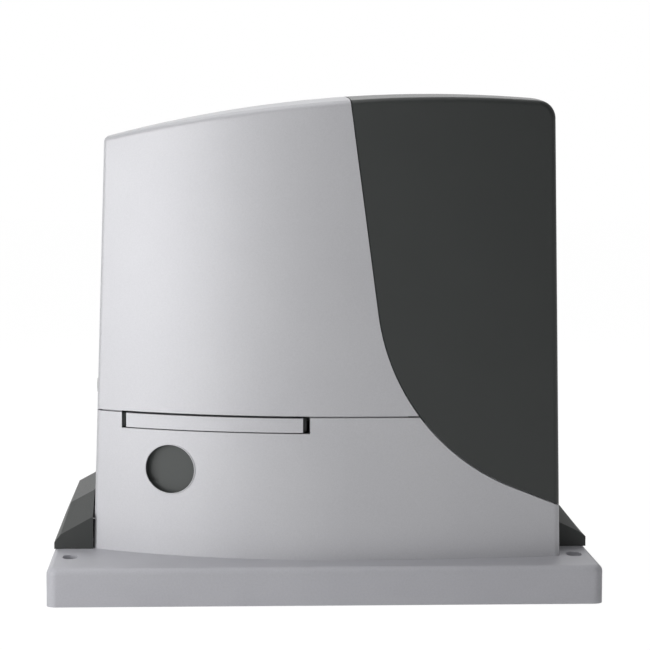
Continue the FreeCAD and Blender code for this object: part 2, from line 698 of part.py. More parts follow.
def make_cover():
    walls = cut("CoverWalls", common("CoverSkin", skin, above_seam), panel_zone_clear,
                mast_notch)
    # The screw's notch is open at the bottom, so that the cover lifts straight off.
    notch_half = s.screw_radius + s.screw_gap
    notch = box("ScrewNotch", (-s.base_width, -s.base_width / 4),
                (s.screw_y - notch_half, s.screw_y + notch_half), (0, s.screw_z))
    eye = rod("ScrewEye", "x", notch_half, -s.base_width, s.base_width * 0.75,
              (s.screw_y, s.screw_z))
    finished(cut("UpperCover", walls, notch, eye), "upper_cover")
    # The side panel carries a lap that is glued behind the cover's edge.
    panel_skin = cut("PanelSkin", common("PanelBlank", skin, panel_zone), mast_notch,
                     rear_low)
    band = cut("PanelJoinBand", panel_zone_lap, panel_zone_core)
    high = box("PanelJoinHigh", WIDE, (-s.base_depth, skirt_line - notch_depth),
               (s.seam_z + s.lap_reach * 2, s.form_head))
    join = common("PanelJoin", thick_lap, band, high)
    finished(fuse("SidePanel", panel_skin, join), "side_panel")
    head_x = wall_x(s.left_foot, s.left_head, s.screw_z)
    tip = -s.screw_head * 2
    finished(turned("CoverScrew", "-x", [
        (tip, 0), (tip, s.screw_radius), (s.screw_stand, s.screw_radius),
        (s.screw_stand, s.screw_head), (s.screw_rim, s.screw_head),
        (s.screw_top, s.screw_head - s.screw_bevel), (s.screw_top, s.socket_radius),
        (s.socket_floor, s.socket_radius), (s.socket_floor, 0)],
        head_x, s.screw_y, s.screw_z), "cover_screw")


def wing_profile(side, lift):
    """A wing's cross-section in XZ; lift 0 is its low front end, 1 its full height."""
    outer_x = s.base_width / 2 - s.wing_inset
    if side < 0:
        low = (s.left_low_side, s.left_wing_low)
        high = (s.left_hip, s.left_wing_top)
        edge, hip_x = s.left_wing_side, s.left_hip_x
    else:
        low = (s.right_low_side, s.right_wing_low)
        high = (s.right_hip, s.right_wing_top)
        edge, hip_x = s.right_wing_side, s.right_hip_x
    shoulder_x = hip_x + (outer_x - s.wing_edge - hip_x) * (1 - lift)
    shoulder, top = [a + (b - a) * lift for a, b in zip(low, high)]
    return outer_x, edge, shoulder_x, shoulder, top


def wing(name, side, shrink):
    """One wing: a lofted front rise and a straight run to the rear edge."""
    body = doc.addObject("PartDesign::Body", name)
    sections = []
    stations = ((s.wing_front + shrink, 0), (s.wing_front + s.wing_rise + shrink, 1),
                (s.base_depth / 2 - shrink, 1))
    for index, (y, lift) in enumerate(stations):
        outer_x, edge, shoulder_x, shoulder, top = wing_profile(side, lift)
        inner_x = s.left_foot if side < 0 else s.right_foot
        inner_x = inner_x + s.skirt_gap * side
        corners = [(inner_x, s.base_top), ((outer_x - shrink) * side, s.base_top),
                   ((outer_x - shrink) * side, edge - shrink),
                   ((shoulder_x - shrink) * side, shoulder - shrink), (inner_x, top - shrink)]
        if index:
            sections.append(body_sketch(body, f"{name}S{index}", "XZ_Plane", corners, -y))
        else:
            first = body_sketch(body, f"{name}S0", "XZ_Plane", corners, -y)
    loft = body.newObject("PartDesign::AdditiveLoft", name + "Loft")
    loft.Profile = first
    loft.Sections = sections
    loft.Ruled = True
    return body


def make_rear_skirt():
    inside_left = wall_x(s.left_foot, s.left_head, s.left_wing_top) - s.skirt_gap
    inside_right = wall_x(s.right_foot, s.right_head, s.right_wing_top) + s.skirt_gap
    wings = [wing("WingLeft", -1, 0), wing("WingRight", 1, 0)]
    hollows = [wing("WingLeftInside", -1, s.wing_wall), wing("WingRightInside", 1, s.wing_wall)]
    # Behind the body the two wings meet a wall that follows the body's rear face.
    rear_form = common("SkirtForm", outer_raw, box(
        "SkirtWallBand", WIDE, (skirt_line, s.base_depth), (0, seam_low)))
    reach = s.base_width / 2 - s.join_inset
    joint_left = box("SkirtJoinLeft", (-reach, inside_left + s.join_lap),
                     (skirt_line, s.base_depth / 2), (s.base_top, s.left_wing_side))
    joint_right = box("SkirtJoinRight", (inside_right - s.join_lap, reach),
                      (skirt_line, s.base_depth / 2), (s.base_top, s.right_wing_side))
    mast = padded("Mast", "XZ_Plane", rounded_outline(
        s.mast_left, s.mast_right, s.base_top, s.mast_top, s.mast_corner),
        skirt_line, s.skirt_wall)
    whole = fuse("SkirtWhole", *wings, rear_form, joint_left, joint_right, mast)
    shaft_hole = rod("SkirtShaftHole", "y", s.case_boss + s.skirt_gap, 0, s.base_depth,
                     (0, s.shaft_z))
    window = box("LeverWindow", (-s.window_half, s.window_half), (0, s.base_depth),
                 (s.switch_z - s.window_height / 2, s.switch_z + s.window_height / 2))
    finished(cut("RearSkirt", whole, *hollows, shaft_hole, window), "rear_skirt")


# ---------------------------------------------------------------------------------------
# Release handle and lock
# ---------------------------------------------------------------------------------------

def make_release():
    strip_zone = box("StripZone", (s.handle_left, s.handle_right), (-s.base_depth, 0),
                     (s.handle_low, seam_low - s.handle_gap / 2))
    strip = common("Strip", cut("StripBand", outer_raw, form("StripInner", s.handle_wall)),
                   strip_zone)
    strip_z = (s.handle_low + s.arm_low_gap, s.seam_z - s.arm_high_gap)
    arm_left = s.handle_left + s.arm_inset
    arm_right = s.handle_right - s.arm_inset - s.handle_arm
    arms = []
    for name, left in (("Left", arm_left), ("Right", arm_right)):
        arm = box(f"Arm{name}", (left, left + s.handle_arm), (s.front_foot, s.yoke_y), strip_z)
        arms.append(common(f"ArmTrim{name}", arm, form(f"ArmForm{name}", s.arm_trim)))
    finished(fuse("ReleaseHandle", strip, *arms), "release_handle")

    rim = s.rod_radius + s.yoke_rim
    yoke = padded("YokeBlank", "XZ_Plane", [
        (arm_left, strip_z[0]), (rim, strip_z[0]), (rim, s.rod_z, rim, 1),
        (-rim, s.rod_z), (-rim, strip_z[1]), (arm_left, strip_z[1])],
        s.yoke_y, s.yoke_wall)
    seat = rod("YokeSeat", "y", s.rod_radius, s.yoke_y - PAST, s.yoke_wall + PAST * 2,
               (0, s.rod_z))
    finished(cut("ReleaseYoke", yoke, seat), "release_yoke")
    finished(rod("ReleaseRod", "y", s.rod_radius, s.yoke_y, fork_end - s.yoke_y,
                 (0, s.rod_z)), "release_rod")

    # The fork hangs from the rod and straddles the clutch ring's groove.
    prong = s.groove_radius + s.fork_gap
    outside = prong + s.fork_wall
    shoulder, head = s.shaft_z + s.fork_rise, s.rod_z + s.fork_head
    blank = padded("ForkBlank", "XZ_Plane", [
        (outside, s.shaft_z), (outside, shoulder), (rim, head, rim, 1),
        (-rim, head), (-outside, shoulder), (-outside, s.shaft_z)],
        fork_start, fork_end - fork_start)
    through = (fork_start - PAST, fork_end - fork_start + PAST * 2)
    saddle = rod("ForkSaddle", "y", prong, *through, (0, s.shaft_z))
    fork_seat = rod("ForkSeat", "y", s.rod_radius, *through, (0, s.rod_z))
    finished(cut("ReleaseFork", blank, saddle, fork_seat), "release_fork")


wheel_front = s.wheel_y - s.wheel_width / 2
wheel_rear = s.wheel_y + s.wheel_width / 2
ring_rear = wheel_front - s.ring_play
ring_front = ring_rear - s.ring_length
groove_front = ring_front + (s.ring_length - s.groove_width) / 2
fork_start = groove_front + s.fork_gap
fork_end = fork_start + s.groove_width - s.fork_gap * 2


def make_lock():
    plate = sized_block("LockPlateBlank", s.plate_width, s.plate_wall, s.plate_height)
    lock_frame(plate, plate_rest, plate_depth, s.lock_z - s.plate_height / 2)
    # A shallow recess near the plate's left edge gives the thumb a grip.
    step = sized_block("LockPlateStep", s.plate_step, s.plate_wall, s.plate_height / 2)
    lock_frame(step, plate_rest + s.step_inset, plate_depth - s.plate_wall / 2,
               s.lock_z - s.plate_height / 4)
    finished(cut("LockPlate", plate, step), "lock_plate")

    length = s.barrel_rear - s.barrel_front
    bore, flange = s.barrel_radius + s.barrel_gap, s.sleeve_radius + s.sleeve_flange
    flange_start = length - s.bracket_wall
    sleeve = turned("LockSleeve", "y", [
        (0, bore), (0, s.sleeve_radius), (flange_start, s.sleeve_radius),
        (flange_start, flange), (length, flange), (length, bore)],
        s.lock_x, s.barrel_front, s.lock_z)
    # A bracket carries the sleeve down to the base.
    bracket_x = (s.lock_x - s.bracket_half, s.lock_x + s.bracket_half)
    bracket = box("LockBracket", bracket_x, (s.barrel_rear - s.bracket_wall, s.barrel_rear),
                  (s.base_top, s.lock_z - s.barrel_radius - s.bracket_lap))
    foot = box("LockBracketFoot", bracket_x,
               (s.barrel_rear - s.bracket_foot, s.barrel_rear),
               (s.base_top, s.base_top + s.bracket_wall))
    finished(fuse("LockBody", sleeve, bracket, foot), "lock_body")

    barrel = rod("LockBarrelBlank", "y", s.barrel_radius, s.barrel_front + s.cam_play,
                 length + s.cam_wall, (s.lock_x, s.lock_z))
    keyway = box("Keyway", (s.lock_x - s.keyway_width / 2, s.lock_x + s.keyway_width / 2),
                 (s.barrel_front - PAST, s.barrel_rear - s.bracket_wall),
                 (s.lock_z - s.keyway_height / 2, s.lock_z + s.keyway_height / 2))
    finished(cut("LockBarrel", barrel, keyway), "lock_barrel")
    cam_tip = s.lock_x + s.cam_length
    cam = padded("LockCamBlank", "XZ_Plane", [
        (s.lock_x, s.lock_z - s.sleeve_radius), (cam_tip, s.lock_z - s.cam_width / 2),
        (cam_tip, s.lock_z + s.cam_width / 2),
        (s.lock_x, s.lock_z + s.sleeve_radius, s.sleeve_radius, 1)],
        s.barrel_rear + s.cam_play, s.cam_wall)
    seat = rod("CamSeat", "y", s.barrel_radius, s.barrel_rear, s.cam_wall + PAST,
               (s.lock_x, s.lock_z))
    finished(cut("LockCam", cam, seat), "lock_cam")


# ---------------------------------------------------------------------------------------
# Gear train
# ---------------------------------------------------------------------------------------

wheel_pitch = s.gear_module * s.wheel_teeth / 2
worm_x = wheel_pitch + s.worm_pitch_radius
worm_lead_angle = Size(
    math.degrees(math.atan(float(s.gear_module) / (2 * float(s.worm_pitch_radius)))),
    "atan(Sizes.gear_module / (2 * Sizes.worm_pitch_radius))")
chamber_radius = wheel_pitch + s.gear_module + s.chamber_gap
worm_bore = s.worm_pitch_radius + s.gear_module + s.chamber_gap
# Where the worm shaft's two bearings and the motor's can start, and the armature's length
low_seat = s.tower_low + s.tower_wall + s.low_cover
high_seat = s.flange_z - s.high_width - s.high_cover
can_low = s.flange_z + s.flange_wall
stack_length = s.can_length - s.armature_low - s.commutator_length - s.armature_high
# The gear casing's lid and the output shaft's two bearings
lid_front = s.case_front - s.lid_wall
front_seat = lid_front - s.lid_recess
rear_seat = s.case_rear - s.bearing_shoulder - s.rear_width


def tooth_outline(pitch_radius, module, pressure, play, root_depth, turn=0):
    """Half-widths of one straight-flanked tooth at root, pitch and tip, as points."""
    points = []
    for side in (-1, 1):
        levels = (-root_depth, 0.0, module)
        for level in levels if side < 0 else levels[::-1]:
            radius = pitch_radius + level
            half = math.pi * module / 4 - play / 2 - level * math.tan(math.radians(pressure))
            angle = turn + side * half / pitch_radius
            points.append(Vector(radius * math.cos(angle), radius * math.sin(angle), 0))
    return points


def gear_shape(teeth, module, pressure, play, width, lean=0.0):
    """A gear blank with its teeth, about Z from height 0.  lean is the helix angle."""
    pitch_radius = module * teeth / 2
    root_depth = 1.2 * module
    twist = width * math.tan(math.radians(lean)) / pitch_radius
    outlines = []
    for level, turn in ((0.0, -twist / 2), (width, twist / 2)):
        points = []
        for tooth in range(teeth):
            centre = 2 * math.pi * tooth / teeth + turn
            for point in tooth_outline(pitch_radius, module, pressure, play, root_depth, centre):
                points.append(Vector(point.x, point.y, level))
        outlines.append(Part.makePolygon(points + points[:1]))
    return Part.makeLoft(outlines, True, True)


def make_output():
    # Worm wheel: helical teeth that follow the worm's lead, web, rim and clutch hub.
    teeth = doc.addObject("Part::Feature", "WheelTeeth")
    teeth.Shape = gear_shape(count(s.wheel_teeth), float(s.gear_module),
                             float(s.pressure_angle), float(s.gear_play),
                             float(s.wheel_width), float(worm_lead_angle))
    place(teeth, 0, wheel_front, s.shaft_z, rotation=ALONG["y"])
    rim_radius = wheel_pitch - s.gear_module * 1.2 - s.wheel_rim
    web_cut = (s.wheel_width - s.wheel_web) / 2
    hollows = []
    for name, y in (("Front", wheel_front - PAST), ("Rear", wheel_rear - web_cut)):
        hollows.append(ring(f"WebHollow{name}", "y", rim_radius, s.hub_radius,
                            web_cut + PAST, 0, y, s.shaft_z))
    bore = rod("WheelBore", "y", s.seat_radius + s.bush_wall, 0, s.base_depth, (0, s.shaft_z))
    dogs = dog_set("WheelDog", wheel_front - PAST, s.dog_depth + PAST + s.dog_gap, s.dog_gap)
    finished(cut("WormWheel", teeth, bore, *hollows, *dogs), "worm_wheel")
    finished(ring("WheelBush", "y", s.seat_radius + s.bush_wall, s.seat_radius + s.seat_gap,
                  s.wheel_width, 0, wheel_front, s.shaft_z), "wheel_bush")

    end = s.pinion_start + s.pinion_width
    neck, seat_start = s.seat_radius - s.shaft_relief, wheel_front - s.ring_play / 2
    collar, shoulder = wheel_rear + s.wheel_collar, s.boss_end + s.shaft_reach
    core = turned("ShaftCore", "y", [
        (front_seat, 0), (front_seat, s.front_bore), (s.case_front, s.front_bore),
        (s.case_front, neck), (seat_start, neck), (seat_start, s.seat_radius),
        (collar, s.seat_radius), (collar, s.rear_bore), (shoulder, s.rear_bore),
        (shoulder, s.pinion_seat), (end, s.pinion_seat), (end, 0)], 0, 0, s.shaft_z)
    hex_start = s.case_front + s.hex_start
    hexagon = hex_prism("ShaftHex", s.hex_flats, hex_start, wheel_front - s.hex_end - hex_start)
    key_x = (-s.key_width / 2, s.key_width / 2)
    key_y = (s.pinion_start + s.key_inset, end - s.key_inset)
    key_low = s.shaft_z + s.pinion_seat - s.key_height / 2
    key_high = s.shaft_z + s.pinion_seat + s.key_height / 2
    keyseat = box("ShaftKeyseat", key_x, key_y, (key_low, key_high + PAST))
    tapped = rod("ShaftTap", "y", s.medium_screw, end - s.tap_depth, s.tap_depth + PAST,
                 (0, s.shaft_z))
    finished(cut("OutputShaft", fuse("ShaftBlank", core, hexagon), keyseat, tapped),
             "output_shaft")

    # Pinion that drives the gate's rack, keyed to the shaft.
    spur = doc.addObject("Part::Feature", "PinionTeeth")
    spur.Shape = gear_shape(count(s.pinion_teeth), float(s.pinion_module),
                            float(s.pressure_angle), float(s.gear_play),
                            float(s.pinion_width))
    place(spur, 0, s.pinion_start, s.shaft_z, rotation=ALONG["y"])
    pinion_bore = rod("PinionBore", "y", s.pinion_seat, s.pinion_start - PAST,
                      s.pinion_width + PAST * 2, (0, s.shaft_z))
    keyway = box("PinionKeyway", key_x, (s.pinion_start - PAST, end + PAST),
                 (s.shaft_z, key_high))
    finished(cut("Pinion", spur, pinion_bore, keyway), "pinion")
    finished(box("PinionKey", key_x, key_y, (key_low, key_high)), "pinion_key")
    finished(turned("PinionBolt", "y", [
        (-s.pinion_bolt_reach, 0), (-s.pinion_bolt_reach, s.medium_screw),
        (0, s.medium_screw), (0, s.pinion_washer_radius),
        (s.pinion_washer, s.pinion_washer_radius), (s.pinion_washer, 0)],
        0, end, s.shaft_z), "pinion_bolt")


def hex_prism(name, flats, y, length):
    """A hexagonal bar along Y on the output axis."""
    across = size(flats) / root(3)
    corners = [(across * cosine(60 * i), s.shaft_z + across * sine(60 * i)) for i in range(6)]
    return padded(name, "XZ_Plane", corners, y, length)


def dog_set(name, y, length, grow):
    """Radial driving dogs around the output axis."""
    dogs = []
    half = s.dog_width / 2 + grow
    root_at = s.seat_radius + s.bush_wall + s.dog_inset
    for index in range(count(s.dog_count)):
        dog = doc.addObject("Part::Box", f"{name}{index}")
        bind(dog, "Length", s.ring_radius - root_at + size(grow) * 2)
        bind(dog, "Width", half * 2)
        bind(dog, "Height", length)
        angle = 360 * index / s.dog_count
        start = root_at - size(grow)
        # The block's own length points outwards and its height points along +Y.
        turn = ALONG["y"].multiply(Rotation(Vector(0, 0, 1), -float(angle)))
        x = start * cosine(angle) - half * sine(angle)
        z = s.shaft_z + start * sine(angle) + half * cosine(angle)
        place(dog, x, y, z, rotation=turn)
        dogs.append(dog)
    return dogs


def make_clutch_ring():
    inside, groove = s.seat_radius - s.ring_relief, groove_front - ring_front
    blank = turned("RingBlank", "y", [
        (0, inside), (0, s.ring_radius), (groove, s.ring_radius), (groove, s.groove_radius),
        (groove + s.groove_width, s.groove_radius), (groove + s.groove_width, s.ring_radius),
        (s.ring_length, s.ring_radius), (s.ring_length, inside)], 0, ring_front, s.shaft_z)
    dogs = dog_set("RingDog", ring_rear - PAST, s.dog_depth + PAST, 0)
    bore = hex_prism("RingBore", s.hex_flats + s.hex_gap * 2, ring_front - PAST,
                     s.ring_length + PAST * 2)
    finished(cut("ClutchRing", fuse("RingWhole", blank, *dogs), bore), "clutch_ring")


def make_rotor():
    # Worm: a straight-flanked thread swept as a ruled ribbon round the shaft.
    module, pitch_radius = float(s.gear_module), float(s.worm_pitch_radius)
    thread = doc.addObject("Part::Feature", "WormThread")
    thread.Shape = worm_thread(module, pitch_radius, float(s.pressure_angle),
                               float(s.gear_play), count(s.worm_turns))
    place(thread, worm_x, s.wheel_y, s.shaft_z)
    root_radius = s.worm_pitch_radius - s.gear_module * 1.2
    low_end, step = low_seat + s.low_width, can_low + s.shaft_step
    top = can_low + s.can_length + s.cap_length
    shaft_end = top + s.encoder_length
    core = turned("WormCore", "z", [
        (low_seat, 0), (low_seat, s.low_bore), (low_end, s.low_bore),
        (low_end, root_radius - s.worm_relief), (low_end + s.worm_shoulder, root_radius),
        (high_seat - s.worm_shoulder, root_radius), (high_seat, s.high_bore + s.high_shoulder),
        (high_seat, s.high_bore), (step, s.high_bore), (step, s.low_bore),
        (shaft_end, s.low_bore), (shaft_end, 0)], worm_x, s.wheel_y, 0)
    finished(fuse("WormShaft", core, thread), "worm_shaft")
    # The armature's stack of plates, with the commutator on its upper end.
    start, end = can_low + s.armature_low, can_low + s.armature_low + stack_length
    drum_end, drum = end + s.commutator_length, s.armature_radius / 2
    finished(turned("Armature", "z", [
        (start, s.low_bore), (start, s.armature_radius), (end, s.armature_radius),
        (end, drum), (drum_end, drum), (drum_end, s.low_bore)],
        worm_x, s.wheel_y, 0), "armature")
    finished(ring("EncoderMagnet", "z", s.encoder_radius, s.low_bore, s.encoder_length,
                  worm_x, s.wheel_y, top + s.encoder_gap), "encoder_magnet")


def worm_thread(module, pitch_radius, pressure, play, turns):
    """A one-start thread about Z, centred on height 0, from ruled helical strips."""
    lead = math.pi * module
    tip, foot = pitch_radius + module, pitch_radius - 1.25 * module
    slope = math.tan(math.radians(pressure))

    def half_width(radius):
        return lead / 4 - play / 2 - (radius - pitch_radius) * slope

    # The wheel has a tooth on the centre line, so an odd number of turns has a gap there.
    start = -lead * turns / 2
    phase = 180.0

    def helix(radius, shift):
        curve = Part.makeHelix(lead, lead * turns, radius)
        curve.rotate(Vector(0, 0, 0), Vector(0, 0, 1), phase)
        curve.translate(Vector(0, 0, start + shift))
        return Part.Wire(curve)

    corners = [(foot, -half_width(foot)), (tip, -half_width(tip)),
               (tip, half_width(tip)), (foot, half_width(foot))]
    rails = [helix(radius, shift) for radius, shift in corners]
    faces = []
    for index, rail in enumerate(rails):
        ribbon = Part.makeRuledSurface(rail, rails[(index + 1) % 4])
        faces.extend(ribbon.Faces)
    for end in (0, 1):
        points = [rail.OrderedVertexes[-end].Point for rail in rails]
        faces.append(Part.Face(Part.makePolygon(points + points[:1])))
    shell = Part.Shell(faces)
    shell.sewShape()
    solid = Part.Solid(shell)
    solid.fix(0.001, 0.001, 0.01)
    return solid


# ---------------------------------------------------------------------------------------
# Gear casing, bearings and motor
# ---------------------------------------------------------------------------------------

def lug_points():
    for index in range(4):
        angle = 45 + 90 * index
        yield index, s.lug_orbit * cosine(angle), s.shaft_z + s.lug_orbit * sine(angle)


def make_gear_case():
    length = s.case_rear - s.case_front
    on_shaft, on_worm = (0, s.shaft_z), (worm_x, s.wheel_y)
    drum = rod("CaseDrum", "y", chamber_radius + s.case_wall, s.case_front, length, on_shaft)
    boss = rod("CaseBoss", "y", s.case_boss, s.case_rear - PAST,
               s.boss_end - s.case_rear + PAST, on_shaft)
    tower = rod("CaseTower", "z", worm_bore + s.tower_wall, s.tower_low,
                s.flange_z - s.tower_low, on_worm)
    flange = rod("CaseFlange", "z", s.can_radius + s.flange_rim, s.flange_z - s.flange_root,
                 s.flange_wall + s.flange_root, on_worm)
    foot = box("CaseFoot", (s.foot_left, s.foot_right), (s.foot_front, s.foot_rear),
               (s.base_top, s.base_top + s.foot_wall))
    pedestal = box("CasePedestal", (-s.pedestal_half, s.pedestal_half),
                   (s.foot_front, s.foot_rear), (s.base_top, s.shaft_z - s.case_boss))
    saddle = box("CaseSaddle", (-s.saddle_half, s.saddle_half),
                 (s.case_front, s.case_front + s.saddle_depth),
                 (s.shaft_z, s.tray_low + s.saddle_rise))
    lugs = [rod(f"CaseLug{i}", "y", s.lug_radius, s.case_front, s.lug_length, (x, z))
            for i, x, z in lug_points()]
    hole = s.small_screw + s.small_gap
    lug_holes = [rod(f"CaseLugHole{i}", "y", hole, s.case_front - PAST, s.lug_hole + PAST,
                     (x, z)) for i, x, z in lug_points()]
    whole = fuse("CaseWhole", drum, boss, tower, flange, foot, pedestal, saddle, *lugs)
    chamber = rod("CaseChamber", "y", chamber_radius, s.case_front - PAST,
                  rear_seat - s.case_front + PAST, on_shaft)
    bearing = rod("CaseBearing", "y", s.rear_outer, rear_seat - PAST, s.rear_width + PAST,
                  on_shaft)
    passage = rod("CasePassage", "y", s.rear_bore + s.passage_gap, 0, s.base_depth, on_shaft)
    seal = rod("CaseSeal", "y", s.seal_outer, s.boss_end - s.seal_width,
               s.seal_width + PAST, on_shaft)
    low_end = low_seat + s.low_width
    bore = rod("CaseWormBore", "z", worm_bore, low_end, high_seat - low_end, on_worm)
    low = rod("CaseLowBearing", "z", s.low_outer, low_seat, s.low_width + PAST, on_worm)
    high = rod("CaseHighBearing", "z", s.high_outer, high_seat - PAST, s.high_width + PAST,
               on_worm)
    neck = rod("CaseNeck", "z", s.high_bore + s.neck_gap, low_seat, s.form_head, on_worm)
    foot_top = s.base_top + s.foot_wall
    bolts = [rod(f"CaseFootHole{i}", "z", s.medium_screw + s.medium_gap, 0, foot_top + PAST,
                 point) for i, point in enumerate(foot_bolt_points())]
    finished(cut("GearCase", whole, chamber, bearing, passage, seal, bore, low, high, neck,
                 *lug_holes, *bolts), "gear_case")

    # Front lid with the front bearing's boss and the release rod's guide.
    disc = rod("LidDisc", "y", chamber_radius + s.case_wall, lid_front, s.lid_wall, on_shaft)
    lid_lugs = [rod(f"LidLug{i}", "y", s.lug_radius, lid_front, s.lid_wall, (x, z))
                for i, x, z in lug_points()]
    boss_start, boss_length = lid_front - s.lid_boss_depth, s.lid_boss_depth + PAST
    lid_boss = rod("LidBoss", "y", s.front_outer + s.lid_boss_wall, boss_start, boss_length,
                   on_shaft)
    guide = rod("LidGuide", "y", s.rod_radius + s.guide_wall, boss_start, boss_length,
                (0, s.rod_z))
    pocket = rod("LidPocket", "y", s.front_outer, front_seat,
                 s.lid_recess + s.lid_wall + PAST, on_shaft)
    guide_hole = rod("LidGuideHole", "y", s.rod_radius + s.rod_gap, boss_start - PAST,
                     s.lid_boss_depth + s.lid_wall + PAST * 2, (0, s.rod_z))
    lid_holes = [rod(f"LidHole{i}", "y", hole, lid_front - PAST, s.lid_wall + PAST * 2,
                     (x, z)) for i, x, z in lug_points()]
    finished(cut("GearCaseLid", fuse("LidWhole", disc, lid_boss, guide, *lid_lugs), pocket,
                 guide_hole, *lid_holes), "gear_case_lid")
    tip = -s.lid_wall - s.small_bite
    screws = [turned(f"LidScrew{i}", "-y", [
        (tip, 0), (tip, s.small_screw), (0, s.small_screw),
        (0, s.small_head), (s.small_head, s.small_head), (s.small_head, 0)], x, lid_front, z)
        for i, x, z in lug_points()]
    finished(group("LidScrews", screws), "lid_screws")
    # A cap screw's head is as tall as its radius, and it ends level with the base's floor.
    bolt_low, bolt_top = s.base_top - s.base_floor, foot_top + s.medium_head
    feet = [turned(f"FootBolt{i}", "z", [
        (bolt_low, 0), (bolt_low, s.medium_screw), (foot_top, s.medium_screw),
        (foot_top, s.medium_head), (bolt_top, s.medium_head), (bolt_top, 0)], x, y, 0)
        for i, (x, y) in enumerate(foot_bolt_points())]
    finished(group("FootBolts", feet), "foot_bolts")


def group(name, shapes):
    """Several equal solids kept apart in one node."""
    item = doc.addObject("Part::Compound", name)
    item.Links = shapes
    return item


def bearing(name, node, axis, outer, inner, width, x, y, z):
    """A shielded ball bearing: two rings with a recessed shield between them."""
    wall, recess = (outer - inner) / 4, s.shield_recess
    inner_rim, outer_rim, far = inner + wall, outer - wall, width - recess
    finished(turned(name, axis, [
        (0, inner), (0, inner_rim), (recess, inner_rim), (recess, outer_rim),
        (0, outer_rim), (0, outer), (width, outer), (width, outer_rim),
        (far, outer_rim), (far, inner_rim), (width, inner_rim), (width, inner)],
        x, y, z), node)


def make_bearings():
    bearing("RearBearing", "rear_bearing", "y", s.rear_outer, s.rear_bore, s.rear_width,
            0, rear_seat, s.shaft_z)
    bearing("FrontBearing", "front_bearing", "y", s.front_outer, s.front_bore, s.front_width,
            0, front_seat, s.shaft_z)
    bearing("WormLowBearing", "worm_lower_bearing", "z", s.low_outer, s.low_bore, s.low_width,
            worm_x, s.wheel_y, low_seat)
    bearing("WormHighBearing", "worm_upper_bearing", "z", s.high_outer, s.high_bore,
            s.high_width, worm_x, s.wheel_y, high_seat)
    lip = s.rear_bore + s.lip_gap
    finished(turned("ShaftSeal", "y", [
        (0, lip), (0, s.seal_outer), (s.seal_width, s.seal_outer),
        (s.seal_width, s.rear_bore + s.seal_lip), (s.seal_width - s.seal_lip, lip)],
        0, s.boss_end - s.seal_width, s.shaft_z), "shaft_seal")


def make_motor():
    radius, inside, neck = s.can_radius, s.can_radius - s.can_wall, s.high_bore + s.neck_gap
    finished(turned("MotorCan", "z", [
        (0, neck), (0, radius), (s.can_length, radius), (s.can_length, inside),
        (s.can_floor, inside), (s.can_floor, neck)], worm_x, s.wheel_y, can_low), "motor_can")
    cap_bore, bevel = s.low_bore + s.lip_gap, s.cap_bevel
    cap_low = can_low + s.can_length
    finished(turned("MotorCap", "z", [
        (0, cap_bore), (0, radius), (s.cap_length - bevel, radius),
        (s.cap_length, radius - bevel), (s.cap_length, cap_bore)],
        worm_x, s.wheel_y, cap_low), "motor_cap")
    magnets = []
    for index, side in enumerate((1, -1)):
        arc = ring(f"MagnetRing{index}", "z", inside, inside - s.magnet_wall, stack_length,
                   worm_x, s.wheel_y, can_low + s.armature_low)
        near, far = s.wheel_y + s.magnet_gap * side, s.wheel_y + radius * side
        limits = (near, far) if side > 0 else (far, near)
        half = box(f"MagnetHalf{index}", (0, s.base_width), limits, (0, s.form_head))
        magnets.append(common(f"Magnet{index}", arc, half))
    finished(group("MotorMagnets", magnets), "motor_magnets")
    screws = [turned(f"MotorScrew{index}", "z", [
        (0, 0), (0, s.small_head), (s.motor_screw_head, s.small_head),
        (s.motor_screw_head, 0)],
        worm_x + (radius - s.motor_screw_inset) * side, s.wheel_y, cap_low + s.cap_length)
        for index, side in enumerate((-1, 1))]
    finished(group("MotorScrews", screws), "motor_screws")


# ---------------------------------------------------------------------------------------
# Transformer and electronics
# ---------------------------------------------------------------------------------------

def make_transformer():
    height = s.coil_height
    # Each corner of the winding's section is three flats on a quarter circle.
    profile = []
    corners = ((0, s.coil_outer, -1, True), (height, s.coil_outer, -1, False),
               (height, s.coil_inner, 1, True), (0, s.coil_inner, 1, False))
    for along, radius, across, from_end in corners:
        inward = 1 if along == 0 else -1
        for angle in (0, 30, 60, 90) if from_end else (90, 60, 30, 0):
            profile.append((along + s.coil_round * (1 - cosine(angle)) * inward,
                            radius + s.coil_round * (1 - sine(angle)) * across))
    finished(turned("TransformerCoil", "z", profile, s.coil_x, s.coil_y, s.base_top),
             "transformer_coil")
    top = s.base_top + height
    seat = s.dish_wall - s.dish_step
    finished(turned("TransformerDish", "z", [
        (0, s.coil_bolt), (0, s.dish_radius), (s.dish_wall, s.dish_radius),
        (s.dish_wall, s.coil_inner), (seat, s.coil_inner - s.dish_slope),
        (seat, s.coil_bolt)], s.coil_x, s.coil_y, top), "transformer_dish")
    bolt_low, bolt_top = -height - s.base_floor, s.dish_wall + s.coil_bolt_head
    finished(turned("TransformerBolt", "z", [
        (bolt_low, 0), (bolt_low, s.coil_bolt), (seat, s.coil_bolt),
        (seat, s.coil_bolt * 2), (bolt_top, s.coil_bolt * 2), (bolt_top, 0)],
        s.coil_x, s.coil_y, top), "transformer_bolt")


board_front = s.tray_front - s.board_gap - s.board_wall


def on_board(name, x, z, width, height, depth):
    """A block standing on the board's front face, placed from the board's lower left."""
    left, low = s.board_left + x, s.board_low + z
    return box(name, (left, left + width), (board_front - depth, board_front),
               (low, low + height))


